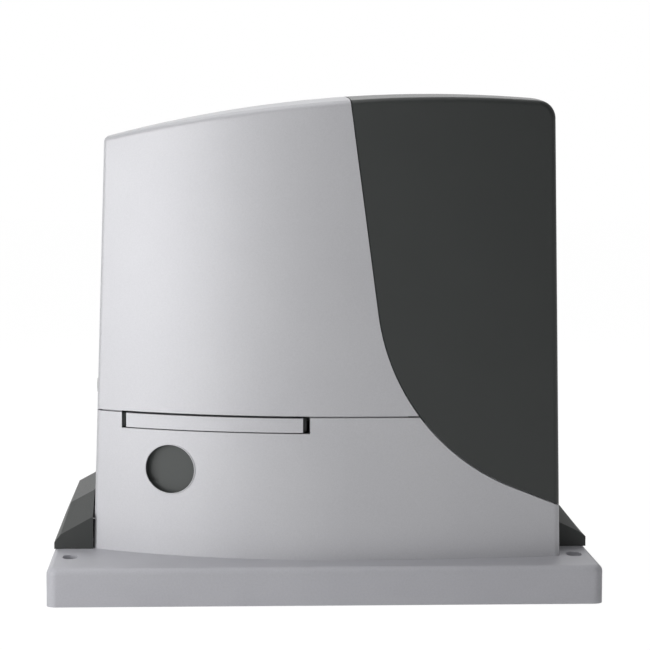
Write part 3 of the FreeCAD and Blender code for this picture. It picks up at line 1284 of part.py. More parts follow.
def make_tray():
    tray_rear = s.tray_front + s.tray_wall
    rim_front = s.tray_front - s.tray_rim
    across, upright = (s.tray_left, s.tray_right), (s.tray_low, s.tray_high)
    plate = box("TrayPlate", across, (s.tray_front, tray_rear), upright)
    rims = [
        box("TrayRimLow", across, (rim_front, tray_rear),
            (s.tray_low, s.tray_low + s.tray_lip)),
        box("TrayRimHigh", across, (rim_front, tray_rear),
            (s.tray_high - s.tray_lip, s.tray_high)),
        box("TrayRimRight", (s.tray_right - s.tray_lip, s.tray_right),
            (rim_front, tray_rear), upright),
    ]
    leg = box("TrayLeg", (s.tray_left, s.tray_left + s.leg_width),
              (s.tray_front, s.tray_front + s.leg_depth),
              (s.base_top, s.tray_low + s.leg_rise))
    saddle_low = s.tray_low + s.saddle_rise
    saddle = box("TraySaddle", (-s.saddle_half, s.saddle_half),
                 (s.tray_front, s.case_front + s.saddle_seat),
                 (saddle_low, saddle_low + s.saddle_wall))
    posts, screws = [], []
    for i, x in enumerate((s.board_left + s.post_inset, s.board_right - s.post_inset)):
        for j, z in enumerate((s.board_low + s.post_inset, s.board_high - s.post_inset)):
            posts.append(rod(f"BoardPost{i}{j}", "y", s.post_radius,
                             s.tray_front - s.board_gap, s.board_gap + PAST, (x, z)))
            screws.append(rod(f"BoardScrew{i}{j}", "y", s.board_screw,
                              board_front - s.board_screw_head, s.board_screw_head, (x, z)))
    finished(fuse("BoardTray", plate, leg, saddle, *rims, *posts), "board_tray")
    finished(group("BoardScrews", screws), "board_screws")


def make_electronics():
    finished(box("ControlBoard", (s.board_left, s.board_right),
                 (board_front, board_front + s.board_wall), (s.board_low, s.board_high)),
             "control_board")
    blocks = [on_board(f"Terminal{i}", s.terminal_left + s.terminal_pitch * i, s.terminal_low,
                       s.terminal_width, s.terminal_height, s.terminal_depth)
              for i in range(count(s.terminal_count))]
    finished(group("TerminalBlocks", blocks), "terminal_blocks")
    relays = [on_board(f"Relay{i}", s.relay_left + s.relay_pitch * i, s.relay_low,
                       s.relay_width, s.relay_height, s.relay_depth)
              for i in range(count(s.relay_count))]
    finished(group("Relays", relays), "relays")
    finished(on_board("ReceiverModule", s.receiver_left, s.receiver_low, s.receiver_width,
                      s.receiver_height, s.receiver_depth), "receiver_module")
    finished(on_board("FuseHolder", s.fuse_left, s.fuse_low, s.fuse_width, s.fuse_height,
                      s.fuse_depth), "fuse_holder")
    drums = [rod(f"Capacitor{i}", "y", s.capacitor_radius, board_front - s.capacitor_depth,
                 s.capacitor_depth,
                 (s.board_left + s.capacitor_left + s.capacitor_pitch * i,
                  s.board_low + s.capacitor_low)) for i in range(count(s.capacitor_count))]
    finished(group("Capacitors", drums), "capacitors")
    finished(on_board("Processor", s.processor_left, s.processor_low, s.processor_side,
                      s.processor_side, s.processor_depth), "processor")


def make_buttons():
    """Three press switches on the board, each with its own loose cap."""
    switches = []
    cap_front = board_front - s.press_depth - s.button_gap - s.button_depth
    for index, side in enumerate(("left", "middle", "right")):
        x = s.button_left + s.button_pitch * index
        switches.append(on_board(f"ButtonSwitch{index}", x, s.button_low, s.press_side,
                                 s.press_side, s.press_depth))
        centre = (s.board_left + x + s.press_side / 2,
                  s.board_low + s.button_low + s.press_side / 2)
        finished(rod(f"BoardButton{index}", "y", s.button_radius, cap_front, s.button_depth,
                     centre), f"board_button_{side}")
    finished(group("ButtonSwitches", switches), "button_switches")


# ---------------------------------------------------------------------------------------
# Limit switch
# ---------------------------------------------------------------------------------------

def make_limit_switch():
    rear = skirt_line
    front = rear - s.switch_depth
    low, high = s.switch_z - s.switch_height / 2, s.switch_z + s.switch_height / 2
    case = box("SwitchCase", (-s.switch_half, s.switch_half), (front, rear), (low, high))
    hollow = box("SwitchHollow", (-s.switch_half + s.switch_wall, s.switch_half - s.switch_wall),
                 (front + s.switch_wall, rear + PAST),
                 (low + s.switch_wall, high - s.switch_wall))
    finished(cut("LimitSwitchCase", case, hollow), "limit_switch_case")
    hub_low = low + s.switch_wall + s.lap_gap
    hub_length = s.switch_height - s.switch_wall * 2 - s.lap_gap * 2
    hub = rod("LeverHub", "z", s.lever_radius, hub_low, hub_length, (0, s.lever_y))
    neck = rod("LeverNeck", "y", s.lever_neck, s.lever_y, s.lever_length, (0, s.switch_z))
    finished(fuse("LimitLever", hub, neck), "limit_lever")
    # The whip is a close-wound spring.
    start = s.lever_y + s.lever_length
    turns, groove = count(s.spring_turns), s.spring_radius - s.spring_groove
    pitch = (s.spring_end - start) / turns
    profile = [(0, 0)]
    for index in range(turns):
        profile += [(pitch * index, groove), (pitch * (index + 0.5), s.spring_radius)]
    profile += [(pitch * turns, groove), (pitch * turns, 0)]
    finished(turned("LimitSpring", "y", profile, 0, start, s.switch_z), "limit_spring")


make_base_plate()
make_lower_shell()
make_cover()
make_rear_skirt()
make_release()
make_lock()
make_output()
make_clutch_ring()
make_rotor()
make_gear_case()
make_bearings()
make_motor()
make_transformer()
make_tray()
make_electronics()
make_buttons()
make_limit_switch()

# ---------------------------------------------------------------------------------------
# Check and write
# ---------------------------------------------------------------------------------------

doc.recompute()
failed = [item.Name for item in doc.Objects if "Invalid" in item.State or "Error" in item.State]
if failed:
    raise RuntimeError("features failed: " + ", ".join(failed))
for name, item in PARTS.items():
    if item.Shape.isNull() or not item.Shape.isValid() or item.Shape.Volume <= 0:
        raise RuntimeError("bad shape: " + name)

os.makedirs("parts", exist_ok=True)
for name, item in PARTS.items():
    item.Shape.exportStep(f"parts/{name}.step")
print(len(PARTS), "sub-parts written")
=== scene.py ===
"""Dresses the sliding gate motor: finishes, small fittings, studio and camera."""
import json
import math

import bpy
from mathutils import Matrix, Vector


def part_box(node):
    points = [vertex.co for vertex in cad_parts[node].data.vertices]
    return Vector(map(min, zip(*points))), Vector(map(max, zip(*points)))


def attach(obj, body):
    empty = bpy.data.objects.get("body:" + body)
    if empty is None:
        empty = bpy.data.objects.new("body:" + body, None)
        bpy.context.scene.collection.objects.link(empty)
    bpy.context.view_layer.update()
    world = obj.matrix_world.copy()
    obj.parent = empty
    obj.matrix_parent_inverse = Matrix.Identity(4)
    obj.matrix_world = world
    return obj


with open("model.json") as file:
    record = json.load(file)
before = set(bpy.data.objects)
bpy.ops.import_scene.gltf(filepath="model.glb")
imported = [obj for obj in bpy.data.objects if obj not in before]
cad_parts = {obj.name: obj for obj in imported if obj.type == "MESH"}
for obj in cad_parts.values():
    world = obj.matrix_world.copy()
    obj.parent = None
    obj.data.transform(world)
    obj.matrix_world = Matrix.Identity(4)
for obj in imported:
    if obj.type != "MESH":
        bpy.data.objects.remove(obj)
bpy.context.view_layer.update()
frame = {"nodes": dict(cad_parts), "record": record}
nodes = frame["nodes"]

MM = 0.001
QUARTER_TURN = math.radians(90)


# ---------------------------------------------------------------------------------------
# Finishes
# ---------------------------------------------------------------------------------------

PLASTIC_IOR = 1.5           # ABS, nylon, epoxy, rubber and window glass all lie near it
NOISE_SPAN = (0.3, 0.7)     # nearly all values of a noise texture lie between these
SPECKLE = 0.04              # how far the grain lightens and darkens the colour
GRAIN_DEPTH = 0.2           # depth of the grain as a share of its width


def colour(code):
    """An sRGB hex colour as the linear values that a shader takes."""
    values = [int(code[i:i + 2], 16) / 255 for i in (0, 2, 4)]
    return [v / 12.92 if v <= 0.04045 else ((v + 0.055) / 1.055) ** 2.4 for v in values] + [1]


def put(tree, kind, inputs=None, **settings):
    """Adds a shader node, sets it up and joins or fills its inputs."""
    node = tree.nodes.new("ShaderNode" + kind)
    for name, value in settings.items():
        setattr(node, name, value)
    for socket, value in (inputs or {}).items():
        if isinstance(value, bpy.types.NodeSocket):
            tree.links.new(value, node.inputs[socket])
        else:
            node.inputs[socket].default_value = value
    return node


def blank(name):
    """An empty material, its node tree, and the object's own coordinates in metres."""
    material = bpy.data.materials.new(name)
    material.use_nodes = True
    tree = material.node_tree
    tree.nodes.clear()
    place = put(tree, "TexCoord").outputs["Object"]
    return material, tree, place


def close(material, tree, shader):
    """Joins the finished shader to the material's output."""
    put(tree, "OutputMaterial", {"Surface": shader.outputs[0]})
    return material


def grained(name, base, shade, grain_mm, patch_mm, roughness, spread, bump, metallic=0.0,
            coat=0.0, stretch=(1, 1, 1)):
    """A surface with fine grain in its height and gloss, and a slower drift in its colour.

    The real grain of most of these finishes is a few hundredths of a millimetre wide, too
    fine to show, so grain_mm draws it as coarse as it needs to be seen. The colour drifts
    from base to shade over patches of patch_mm. The roughness varies by spread either way,
    and bump is how strongly the grain turns the light. A stretch above 1 packs the grain
    closer along that axis, and one below 1 draws it out into streaks.
    """
    low, high = NOISE_SPAN
    material, tree, place = blank(name)
    along = put(tree, "Mapping", {"Vector": place, "Scale": stretch}).outputs[0]
    grain = put(tree, "TexNoise", {"Vector": along, "Scale": 1 / (grain_mm * MM),
                                   "Detail": 3.0, "Roughness": 0.6})
    patch = put(tree, "TexNoise", {"Vector": place, "Scale": 1 / (patch_mm * MM),
                                   "Detail": 2.0})
    tint = put(tree, "Mix", {"Factor": patch.outputs["Fac"], "A": colour(base),
                             "B": colour(shade)}, data_type="RGBA")
    speck = put(tree, "MapRange", {"Value": grain.outputs["Fac"], "From Min": low,
                                   "From Max": high, "To Min": 1 - SPECKLE,
                                   "To Max": 1 + SPECKLE})
    body = put(tree, "Mix", {"Factor": 1.0, "A": tint.outputs["Result"],
                             "B": speck.outputs[0]}, data_type="RGBA", blend_type="MULTIPLY")
    gloss = put(tree, "MapRange", {"Value": grain.outputs["Fac"], "From Min": low,
                                   "From Max": high, "To Min": roughness - spread,
                                   "To Max": roughness + spread})
    relief = put(tree, "Bump", {"Height": grain.outputs["Fac"], "Strength": bump,
                                "Distance": grain_mm * MM * GRAIN_DEPTH})
    shader = put(tree, "BsdfPrincipled", {
        "Base Color": body.outputs["Result"], "Metallic": metallic,
        "Roughness": gloss.outputs[0], "Normal": relief.outputs[0]})
    if not metallic:
        shader.inputs["IOR"].default_value = PLASTIC_IOR
    shader.inputs["Coat Weight"].default_value = coat
    return close(material, tree, shader)


def clear_cast(name, tint, roughness, through):
    """A clear moulding that lets the share called through of the light pass."""
    cloud_mm, spread = 2, 0.05
    material, tree, place = blank(name)
    cloud = put(tree, "TexNoise", {"Vector": place, "Scale": 1 / (cloud_mm * MM),
                                   "Detail": 1.0})
    gloss = put(tree, "MapRange", {"Value": cloud.outputs["Fac"], "To Min": roughness,
                                   "To Max": roughness + spread})
    shader = put(tree, "BsdfPrincipled", {
        "Base Color": colour(tint), "Roughness": gloss.outputs[0],
        "Transmission Weight": through, "IOR": PLASTIC_IOR})
    return close(material, tree, shader)


# Silver lacquer sprayed over moulded ABS: its fine aluminium flake gives a soft, wide gloss.
silver_lacquer = grained(
    "Silver_Lacquer_On_ABS", "C4C4C7", "BCBCC0", grain_mm=0.9, patch_mm=60,
    roughness=0.5, spread=0.05, bump=0.10, metallic=0.35)

# The same lacquer on the die-cast base: the skin of the casting below leaves it a little
# rougher and less even.
silver_casting = grained(
    "Silver_Lacquer_On_Die_Cast_Aluminium", "BDBDC2", "B2B2B8", grain_mm=1.2, patch_mm=40,
    roughness=0.5, spread=0.06, bump=0.2, metallic=0.1)

# Charcoal ABS from a spark-eroded tool: an even, fine texture that kills the gloss.
charcoal_abs = grained(
    "Charcoal_Textured_ABS", "313433", "2C2F2E", grain_mm=0.8, patch_mm=50,
    roughness=0.42, spread=0.06, bump=0.12)

# The skirt is the same plastic from a coarser tool, which looks greyer and drier.
skirt_abs = grained(
    "Charcoal_Skirt_ABS", "3C3E3D", "353736", grain_mm=1.0, patch_mm=45,
    roughness=0.55, spread=0.06, bump=0.25)

# The lock's sliding plate is moulded in a lighter grey with a satin face.
plate_abs = grained(
    "Grey_Satin_ABS", "454847", "404342", grain_mm=0.7, patch_mm=30,
    roughness=0.45, spread=0.06, bump=0.12)

# Die-cast aluminium as it leaves the tool: dull, with a mottled skin.
raw_casting = grained(
    "Raw_Die_Cast_Aluminium", "A3A5A6", "8F9293", grain_mm=1.4, patch_mm=25,
    roughness=0.48, spread=0.1, bump=0.3, metallic=1.0)

# Turned and ground steel: bright, with fine marks lying level round the work.
ground_steel = grained(
    "Ground_Steel", "B4B5B8", "A9AAAD", grain_mm=0.6, patch_mm=20,
    roughness=0.3, spread=0.08, bump=0.12, metallic=1.0, stretch=(1, 1, 8))

# Bright zinc plated on steel: faintly yellow to faintly blue, and slightly clouded.
zinc_plate = grained(
    "Bright_Zinc_Plated_Steel", "C6C7C4", "B5B8BC", grain_mm=0.8, patch_mm=12,
    roughness=0.33, spread=0.08, bump=0.1, metallic=1.0)

# Bearing rings, ground and polished: nearly a mirror, with hardly any grain.
bearing_steel = grained(
    "Polished_Bearing_Steel", "B9BABD", "B0B1B5", grain_mm=0.5, patch_mm=15,
    roughness=0.18, spread=0.04, bump=0.04, metallic=1.0)

# Tin bronze, hobbed: warm brown-gold, its shine broken by small tool marks.
bronze = grained(
    "Hobbed_Tin_Bronze", "B98A4A", "A4763B", grain_mm=0.6, patch_mm=10,
    roughness=0.34, spread=0.08, bump=0.12, metallic=1.0)

# Nickel plated over die-cast zinc: a smooth metal, warmer than steel and fairly bright.
nickel = grained(
    "Nickel_On_Zinc_Casting", "B7B4AD", "ADAAA4", grain_mm=0.6, patch_mm=12,
    roughness=0.25, spread=0.05, bump=0.06, metallic=1.0)

# Moulded nitrile rubber: matt and nearly black.
nitrile = grained(
    "Moulded_Nitrile_Rubber", "1D1E1F", "181919", grain_mm=0.7, patch_mm=15,
    roughness=0.7, spread=0.06, bump=0.2)

# Moulded glass-filled nylon: black, with the pale bloom of the glass at its skin.
black_nylon = grained(
    "Glass_Filled_Black_Nylon", "252627", "1C1D1E", grain_mm=0.5, patch_mm=12,
    roughness=0.5, spread=0.08, bump=0.15)

# Deep-drawn steel with zinc and a clear passivation: grey, with streaks along the draw.
drawn_steel = grained(
    "Passivated_Drawn_Steel", "8C8F92", "7E8286", grain_mm=0.9, patch_mm=30,
    roughness=0.36, spread=0.07, bump=0.12, metallic=1.0, stretch=(1, 1, 0.2))

# Sintered ferrite: dark grey, dry and slightly sparkling.
ferrite = grained(
    "Sintered_Ferrite", "2F3033", "28292B", grain_mm=0.4, patch_mm=8,
    roughness=0.6, spread=0.1, bump=0.2)

# Punched electrical steel in a stack: thin dark lines between bright sheet edges.
stacked_steel = grained(
    "Stacked_Electrical_Steel", "77746F", "66635E", grain_mm=0.5, patch_mm=8,
    roughness=0.45, spread=0.1, bump=0.2, metallic=1.0, stretch=(0.2, 0.2, 3))

# Polyester film wound over the copper coil: amber, glossy and a little crinkled.
coil_film = grained(
    "Polyester_Film_Over_Winding", "C39A2E", "A97E22", grain_mm=1.6, patch_mm=14,
    roughness=0.25, spread=0.05, bump=0.3, coat=0.5)

# Glass-epoxy board under screened green solder resist: deep green with a satin skin.
board_green = grained(
    "Solder_Resist_On_Glass_Epoxy", "14502B", "104524", grain_mm=0.8, patch_mm=9,
    roughness=0.35, spread=0.06, bump=0.15)

# Moulded polyamide of the terminal blocks: a lighter green with a low sheen.
green_nylon = grained(
    "Green_Polyamide", "2E7D3C", "286F35", grain_mm=0.5, patch_mm=9,
    roughness=0.42, spread=0.06, bump=0.1)

# Moulded polyester cases of the relays and the receiver: full blue, smooth and shiny.
blue_case = grained(
    "Blue_Polyester_Case", "1F3F86", "1B3876", grain_mm=0.5, patch_mm=9,
    roughness=0.32, spread=0.05, bump=0.08)

# Moulded epoxy bodies of the components: near black with a fine dull grain.
black_epoxy = grained(
    "Moulded_Black_Epoxy", "1C1C1F", "18181A", grain_mm=0.4, patch_mm=6,
    roughness=0.42, spread=0.06, bump=0.1)

# Moulded ABS of the button caps: pale warm grey, smooth.
grey_cap = grained(
    "Grey_Button_ABS", "B8B8B0", "AEAEA6", grain_mm=0.5, patch_mm=6,
    roughness=0.38, spread=0.05, bump=0.05)

# Fired barium titanate of the chip capacitors: pale tan and dry.
tan_ceramic = grained(
    "Tan_Chip_Ceramic", "A98F66", "9C825A", grain_mm=0.4, patch_mm=5,
    roughness=0.5, spread=0.06, bump=0.05)

# Cast amber epoxy of the indicator lamps: glossy outside, with some light coming through.
lamp_epoxy = clear_cast("Amber_Lamp_Epoxy", "D8902A", roughness=0.2, through=0.5)

# Drawn soda-lime tube of the fuse: clear and faintly green, with sharp highlights.
fuse_glass = clear_cast("Fuse_Glass", "E4ECEA", roughness=0.05, through=0.9)

FINISHES = {
    "base_casting": silver_casting, "silver_shell": silver_lacquer, "dark_shell": charcoal_abs,
    "die_casting": raw_casting, "turned_steel": ground_steel, "zinc_fastener": zinc_plate,
    "bearing_steel": bearing_steel, "wheel_bronze": bronze, "lock_zinc": nickel,
    "seal_rubber": nitrile, "black_plastic": black_nylon, "can_steel": drawn_steel,
    "magnet": ferrite, "lamination": stacked_steel, "winding": coil_film,
    "board": board_green, "terminal": green_nylon, "relay": blue_case,
    "component": black_epoxy, "button": grey_cap,
}
for part in frame["record"]["subparts"]:
    mesh = nodes[part["node"]].data
    mesh.materials.clear()
    mesh.materials.append(FINISHES[part["material_slot"]])
nodes["rear_skirt"].data.materials[0] = skirt_abs
nodes["lock_plate"].data.materials[0] = plate_abs


# ---------------------------------------------------------------------------------------
# Tools for the small fittings
# ---------------------------------------------------------------------------------------

SMOOTH_BELOW = math.radians(35)     # edges flatter than this are shaded smooth
RIM_ANGLE = math.radians(50)        # only a disc's rims are sharper than this


def deselect():
    """Leaves nothing selected, because an operator acts on all that is."""
    for thing in list(bpy.context.selected_objects):
        thing.select_set(False)


def solo(thing):
    """Selects one object alone and makes it the active one."""
    deselect()
    thing.select_set(True)
    bpy.context.view_layer.objects.active = thing


def modified(thing, kind, **settings):
    """Adds a modifier with its settings and applies it."""
    solo(thing)
    added = thing.modifiers.new(kind.title(), kind)
    for name, value in settings.items():
        setattr(added, name, value)
    bpy.ops.object.modifier_apply(modifier=added.name)
    return thing


def block(centre, size, edge):
    """A box of that size with rounded edges."""
    bpy.ops.mesh.primitive_cube_add(size=1, location=centre)
    thing = bpy.context.object
    thing.scale = size
    bpy.ops.object.transform_apply(location=False, rotation=False, scale=True)
    return modified(thing, "BEVEL", width=edge, segments=2, limit_method="ANGLE")


def disc(centre, radius, depth, sides, axis="Y", edge=0.2 * MM):
    """A short cylinder along Y or Z with softened rims."""
    turn = (QUARTER_TURN, 0, 0) if axis == "Y" else (0, 0, 0)
    bpy.ops.mesh.primitive_cylinder_add(vertices=sides, radius=radius, depth=depth,
                                        location=centre, rotation=turn)
    thing = bpy.context.object
    bpy.ops.object.transform_apply(location=False, rotation=True, scale=False)
    return modified(thing, "BEVEL", width=edge, segments=2, limit_method="ANGLE",
                    angle_limit=RIM_ANGLE)


def trimmed(thing, place, normal, **side):
    """Cuts a piece at a plane in edit mode, closes the cut and clears one side of it."""
    solo(thing)
    bpy.ops.object.mode_set(mode="EDIT")
    bpy.ops.mesh.select_all(action="SELECT")
    bpy.ops.mesh.bisect(plane_co=place, plane_no=normal, use_fill=True, **side)
    bpy.ops.object.mode_set(mode="OBJECT")
    return thing


def doubled(thing):
    """A copy of a piece with its own mesh."""
    twin = thing.copy()
    twin.data = thing.data.copy()
    bpy.context.scene.collection.objects.link(twin)
    return twin


def copies(thing, places):
    """Copies a piece to each of the given places, and removes the first."""
    made = []
    for place in places:
        twin = doubled(thing)
        twin.location = place
        made.append(twin)
    bpy.data.objects.remove(thing)
    return made


def joined(things):
    """Several pieces as one object."""
    solo(things[0])
    for other in things[1:]:
        other.select_set(True)
    bpy.ops.object.join()
    return bpy.context.object


def fitted(thing, name, finish):
    """Puts a piece's place into its mesh, names it, finishes it and hangs it on the chassis."""
    solo(thing)
    bpy.ops.object.transform_apply(location=True, rotation=True, scale=True)
    thing.name = thing.data.name = name
    thing.data.materials.clear()
    thing.data.materials.append(finish)
    bpy.ops.object.shade_smooth_by_angle(angle=SMOOTH_BELOW)
    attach(thing, "chassis")


def surface_y(node, x, z, way=1):
    """The Y where a line along Y first meets a node, from in front or, with way -1, behind."""
    start, direction = Vector((x, -way, z)), Vector((0, way, 0))
    hit, point, _, _ = nodes[node].ray_cast(start, direction)
    if not hit:
        raise ValueError(f"{node} has no surface at x {x}, z {z}")
    return point.y


def middle(node):
    """The middle of a CAD node's box."""
    low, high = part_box(node)
    return (low + high) / 2


# ---------------------------------------------------------------------------------------
# Small fittings of the shell
# ---------------------------------------------------------------------------------------

def window_rim():
    """A bright bead set in the edge of the round window, following the bowed shell."""
    hole_radius, bead_radius = 15 * MM, 0.4 * MM
    ledge = 0.9 * MM        # how far outside the hole the shell's face is looked up
    sink = 0.15 * MM        # how far the bead's centre lies behind that face
    centre = middle("lock_plate")
    bpy.ops.mesh.primitive_torus_add(
        major_segments=96, minor_segments=10, major_radius=hole_radius,
        minor_radius=bead_radius, location=(centre.x, 0, centre.z),
        rotation=(QUARTER_TURN, 0, 0))
    bead = bpy.context.object
    bpy.ops.object.transform_apply(location=True, rotation=True, scale=True)
    for corner in bead.data.vertices:
        x, z = corner.co.x - centre.x, corner.co.z - centre.z
        reach = (hole_radius + ledge) / math.hypot(x, z)
        corner.co.y += surface_y("lower_shell", centre.x + x * reach, centre.z + z * reach)
        corner.co.y += sink
    fitted(bead, "window_rim", silver_lacquer)


def painted_slot_shades():
    """Charcoal cheeks in the gaps beside the handle: painted shade, dark pieces put where the
    handle's pocket lies in shadow.
    """
    depth, set_back, edge = 4 * MM, 6.5 * MM, 0.2 * MM
    inboard = 2 * MM        # where the handle's face is looked up, in from its end
    low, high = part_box("release_handle")
    level, height = (low.z + high.z) / 2, high.z - low.z
    cheeks = (("left", low.x, -1, 1.4 * MM, 2.2 * MM), ("right", high.x, 1, 1.3 * MM, 2 * MM))
    for name, end, side, clear, width in cheeks:
        front = surface_y("release_handle", end - side * inboard, level)
        cheek = block((end + side * clear, front + set_back, level), (width, depth, height),
                      edge)
        # painted shade: these charcoal cheeks stand for the shadow inside the handle's pocket,
        # not for a real lining
        fitted(cheek, f"painted_slot_shade_{name}", charcoal_abs)


def skirt_screws():
    """Pan-head screws which hold the mast of the skirt; each cross recess is drawn as a black
    cross of painted shade on the head.
    """
    head_radius, head_height, head_edge = 4 * MM, 2 * MM, 0.6 * MM
    arm_length, arm_width, arm_depth, arm_edge = 4.4 * MM, 0.8 * MM, 0.25 * MM, 0.08 * MM
    sunk = 0.05 * MM                        # how far a head reaches into the mast
    left, right = -26 * MM, 50 * MM         # 8 mm in from the mast's two sides
    below_top = 10 * MM
    waist, foot = 110 * MM, 60 * MM         # heights of the two lower screws
    plain_x, plain_z = 45 * MM, 150 * MM    # a spot where the mast's rear is plain
    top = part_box("rear_skirt")[1].z - below_top
    rear = surface_y("rear_skirt", plain_x, plain_z, way=-1)
    head = disc((0, 0, 0), head_radius, head_height, sides=28, edge=head_edge)
    face = head_height / 2
    recess_shade_arms = [block((0, face, 0), (arm_length, arm_depth, arm_width), arm_edge),
            block((0, face, 0), (arm_width, arm_depth, arm_length), arm_edge)]
    places = [(x, rear + face - sunk, z) for x, z in
              ((left, top), (right, top), (right, waist), (right, foot))]
    fitted(joined(copies(head, places)), "skirt_screws", zinc_plate)
    # painted shade: a black cross set on each head stands for the shade in its recess
    cross = joined(recess_shade_arms)
    fitted(joined(copies(cross, places)), "skirt_screw_recess_shade", black_epoxy)


# ---------------------------------------------------------------------------------------
# Small fittings of the control board and the motor
# ---------------------------------------------------------------------------------------

def terminal_screws():
    """Slotted clamp screws, three on each terminal block, each above a wire entry whose opening
    is drawn as a black block of painted shade.
    """
    blocks, block_width, ways = 5, 18 * MM, 3
    way_pitch = block_width / ways
    screw_radius, screw_depth, screw_stand = 2.1 * MM, 0.9 * MM, 0.3 * MM
    slot_half, slot_slant = 0.32 * MM, 0.2      # the slot stands 11 degrees off upright
    seat_radius, seat_depth, seat_back = 2.0 * MM, 0.4 * MM, 0.35 * MM
    entry_shade_size, entry_shade_edge, entry_shade_stand = (3.4 * MM, 0.5 * MM, 2.6 * MM), 0.3 * MM, 0.12 * MM
    screw_level, entry_level = 0.62, 0.2        # shares of the block's height
    low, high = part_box("terminal_blocks")
    bpy.ops.mesh.primitive_cylinder_add(vertices=20, radius=screw_radius, depth=screw_depth,
                                        rotation=(QUARTER_TURN, 0, 0))
    half = bpy.context.object
    bpy.ops.object.transform_apply(location=True, rotation=True, scale=True)
    trimmed(half, (slot_half, 0, 0), (1, 0, slot_slant), clear_inner=True)
    twin = doubled(half)
    twin.data.transform(Matrix.Rotation(math.pi, 4, "Y"))
    seat = disc((0, seat_back, 0), seat_radius, seat_depth, sides=20)
    screw = joined([half, twin, seat])
    block_pitch = (high.x - low.x - block_width) / (blocks - 1)
    across = [low.x + block_pitch * i + way_pitch * (j + 0.5)
              for i in range(blocks) for j in range(ways)]
    tall = high.z - low.z
    places = [(x, low.y - screw_stand, low.z + tall * screw_level) for x in across]
    fitted(joined(copies(screw, places)), "terminal_screws", zinc_plate)
    # painted shade: a black block at each wire entry stands for the shade inside the opening
    entry_shade = block((0, 0, 0), entry_shade_size, entry_shade_edge)
    places = [(x, low.y - entry_shade_stand, low.z + tall * entry_level) for x in across]
    fitted(joined(copies(entry_shade, places)), "terminal_entry_shades", black_epoxy)


def processor_legs():
    """Gull-wing legs round the processor."""
    legs_a_side = 11
    thick, height, long, edge = 0.45 * MM, 0.5 * MM, 1.5 * MM, 0.1 * MM
    reach = 0.6 * MM        # from the body's side to the middle of a leg
    stand = 0.3 * MM        # from the board to the middle of a leg
    low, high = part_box("processor")
    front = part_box("control_board")[0].y - stand
    upright = block((0, 0, 0), (thick, height, long), edge)
    level = block((0, 0, 0), (long, height, thick), edge)
    step = (high.x - low.x) / (legs_a_side + 1)
    steps = [step * i for i in range(1, legs_a_side + 1)]
    above_below = [(low.x + s, front, z) for s in steps
                   for z in (low.z - reach, high.z + reach)]
    beside = [(x, front, low.z + s) for s in steps for x in (low.x - reach, high.x + reach)]
    legs = joined(copies(upright, above_below) + copies(level, beside))
    fitted(legs, "processor_legs", zinc_plate)


def board_chips():
    """Surface-mounted resistors and capacitors in short rows, set between the large parts.

    Their places are in mm across and up from the board's lower left corner.
    """
    resistors = ((46, 18), (46, 22), (54, 18), (92, 26), (92, 30), (92, 34), (102, 26),
                 (102, 30), (112, 26), (60, 44), (68, 44), (84, 72), (14, 44), (14, 36))
    capacitors = ((52, 40), (56, 40), (80, 44), (84, 48), (84, 52), (98, 42), (104, 42),
                  (110, 42), (20, 30), (26, 30), (32, 30), (60, 74), (60, 78))
    resistor_size = (3.2 * MM, 0.7 * MM, 1.6 * MM)
    capacitor_size = (2.0 * MM, 1.0 * MM, 1.3 * MM)
    edge = 0.15 * MM
    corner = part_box("control_board")[0]
    dark = block((0, 0, 0), resistor_size, edge)
    pale = block((0, 0, 0), capacitor_size, edge)
    for name, chip, spots, stand, finish in (
            ("chip_resistors", dark, resistors, 0.3 * MM, black_epoxy),
            ("chip_capacitors", pale, capacitors, 0.4 * MM, tan_ceramic)):
        places = [(corner.x + x * MM, corner.y - stand, corner.z + z * MM) for x, z in spots]
        fitted(joined(copies(chip, places)), name, finish)


def status_lamps():
    """Three domed lamps on collars, one above each push button."""
    dome_radius, collar_radius, collar_depth = 1.5 * MM, 1.8 * MM, 0.8 * MM
    dome_back = 0.9 * MM    # from the dome's centre to its cut rear face, where the collar is
    above, stand = 7 * MM, 1.3 * MM     # over the button, and out from the board
    bpy.ops.mesh.primitive_uv_sphere_add(segments=20, ring_count=10, radius=dome_radius)
    dome = bpy.context.object
    trimmed(dome, (0, dome_back, 0), (0, 1, 0), clear_outer=True)
    collar = disc((0, dome_back, 0), collar_radius, collar_depth, sides=20)
    lens = joined([dome, collar])
    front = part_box("control_board")[0].y
    buttons = [middle(f"board_button_{name}") for name in ("left", "middle", "right")]
    places = [(button.x, front - stand, button.z + above) for button in buttons]
    fitted(joined(copies(lens, places)), "status_lamps", lamp_epoxy)


def capacitor_tops():
    """Bare aluminium ends, with the crossed scores that let a capacitor vent, drawn as black
    marks of painted shade.
    """
    low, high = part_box("capacitors")
    can_radius = (high.z - low.z) / 2
    top_radius, top_depth, top_edge, top_stand = 5.7 * MM, 0.6 * MM, 0.25 * MM, 0.2 * MM
    score_length, score_width, score_depth = 7 * MM, 0.4 * MM, 0.2 * MM
    score_edge, score_stand = 0.08 * MM, 0.48 * MM
    level = low.z + can_radius
    centres = (low.x + can_radius, high.x - can_radius)
    top = disc((0, 0, 0), top_radius, top_depth, sides=32, edge=top_edge)
    places = [(x, low.y - top_stand, level) for x in centres]
    fitted(joined(copies(top, places)), "capacitor_tops", raw_casting)
    # painted shade: black marks laid on the top stand for the shade in the vent grooves
    score_shade = block((0, 0, 0), (score_length, score_depth, score_width), score_edge)
    cross = block((0, 0, 0), (score_width, score_depth, score_length), score_edge)
    marks = [(x, low.y - score_stand, level) for x in centres]
    fitted(joined(copies(score_shade, marks) + copies(cross, marks)), "capacitor_score_shades",
           black_epoxy)


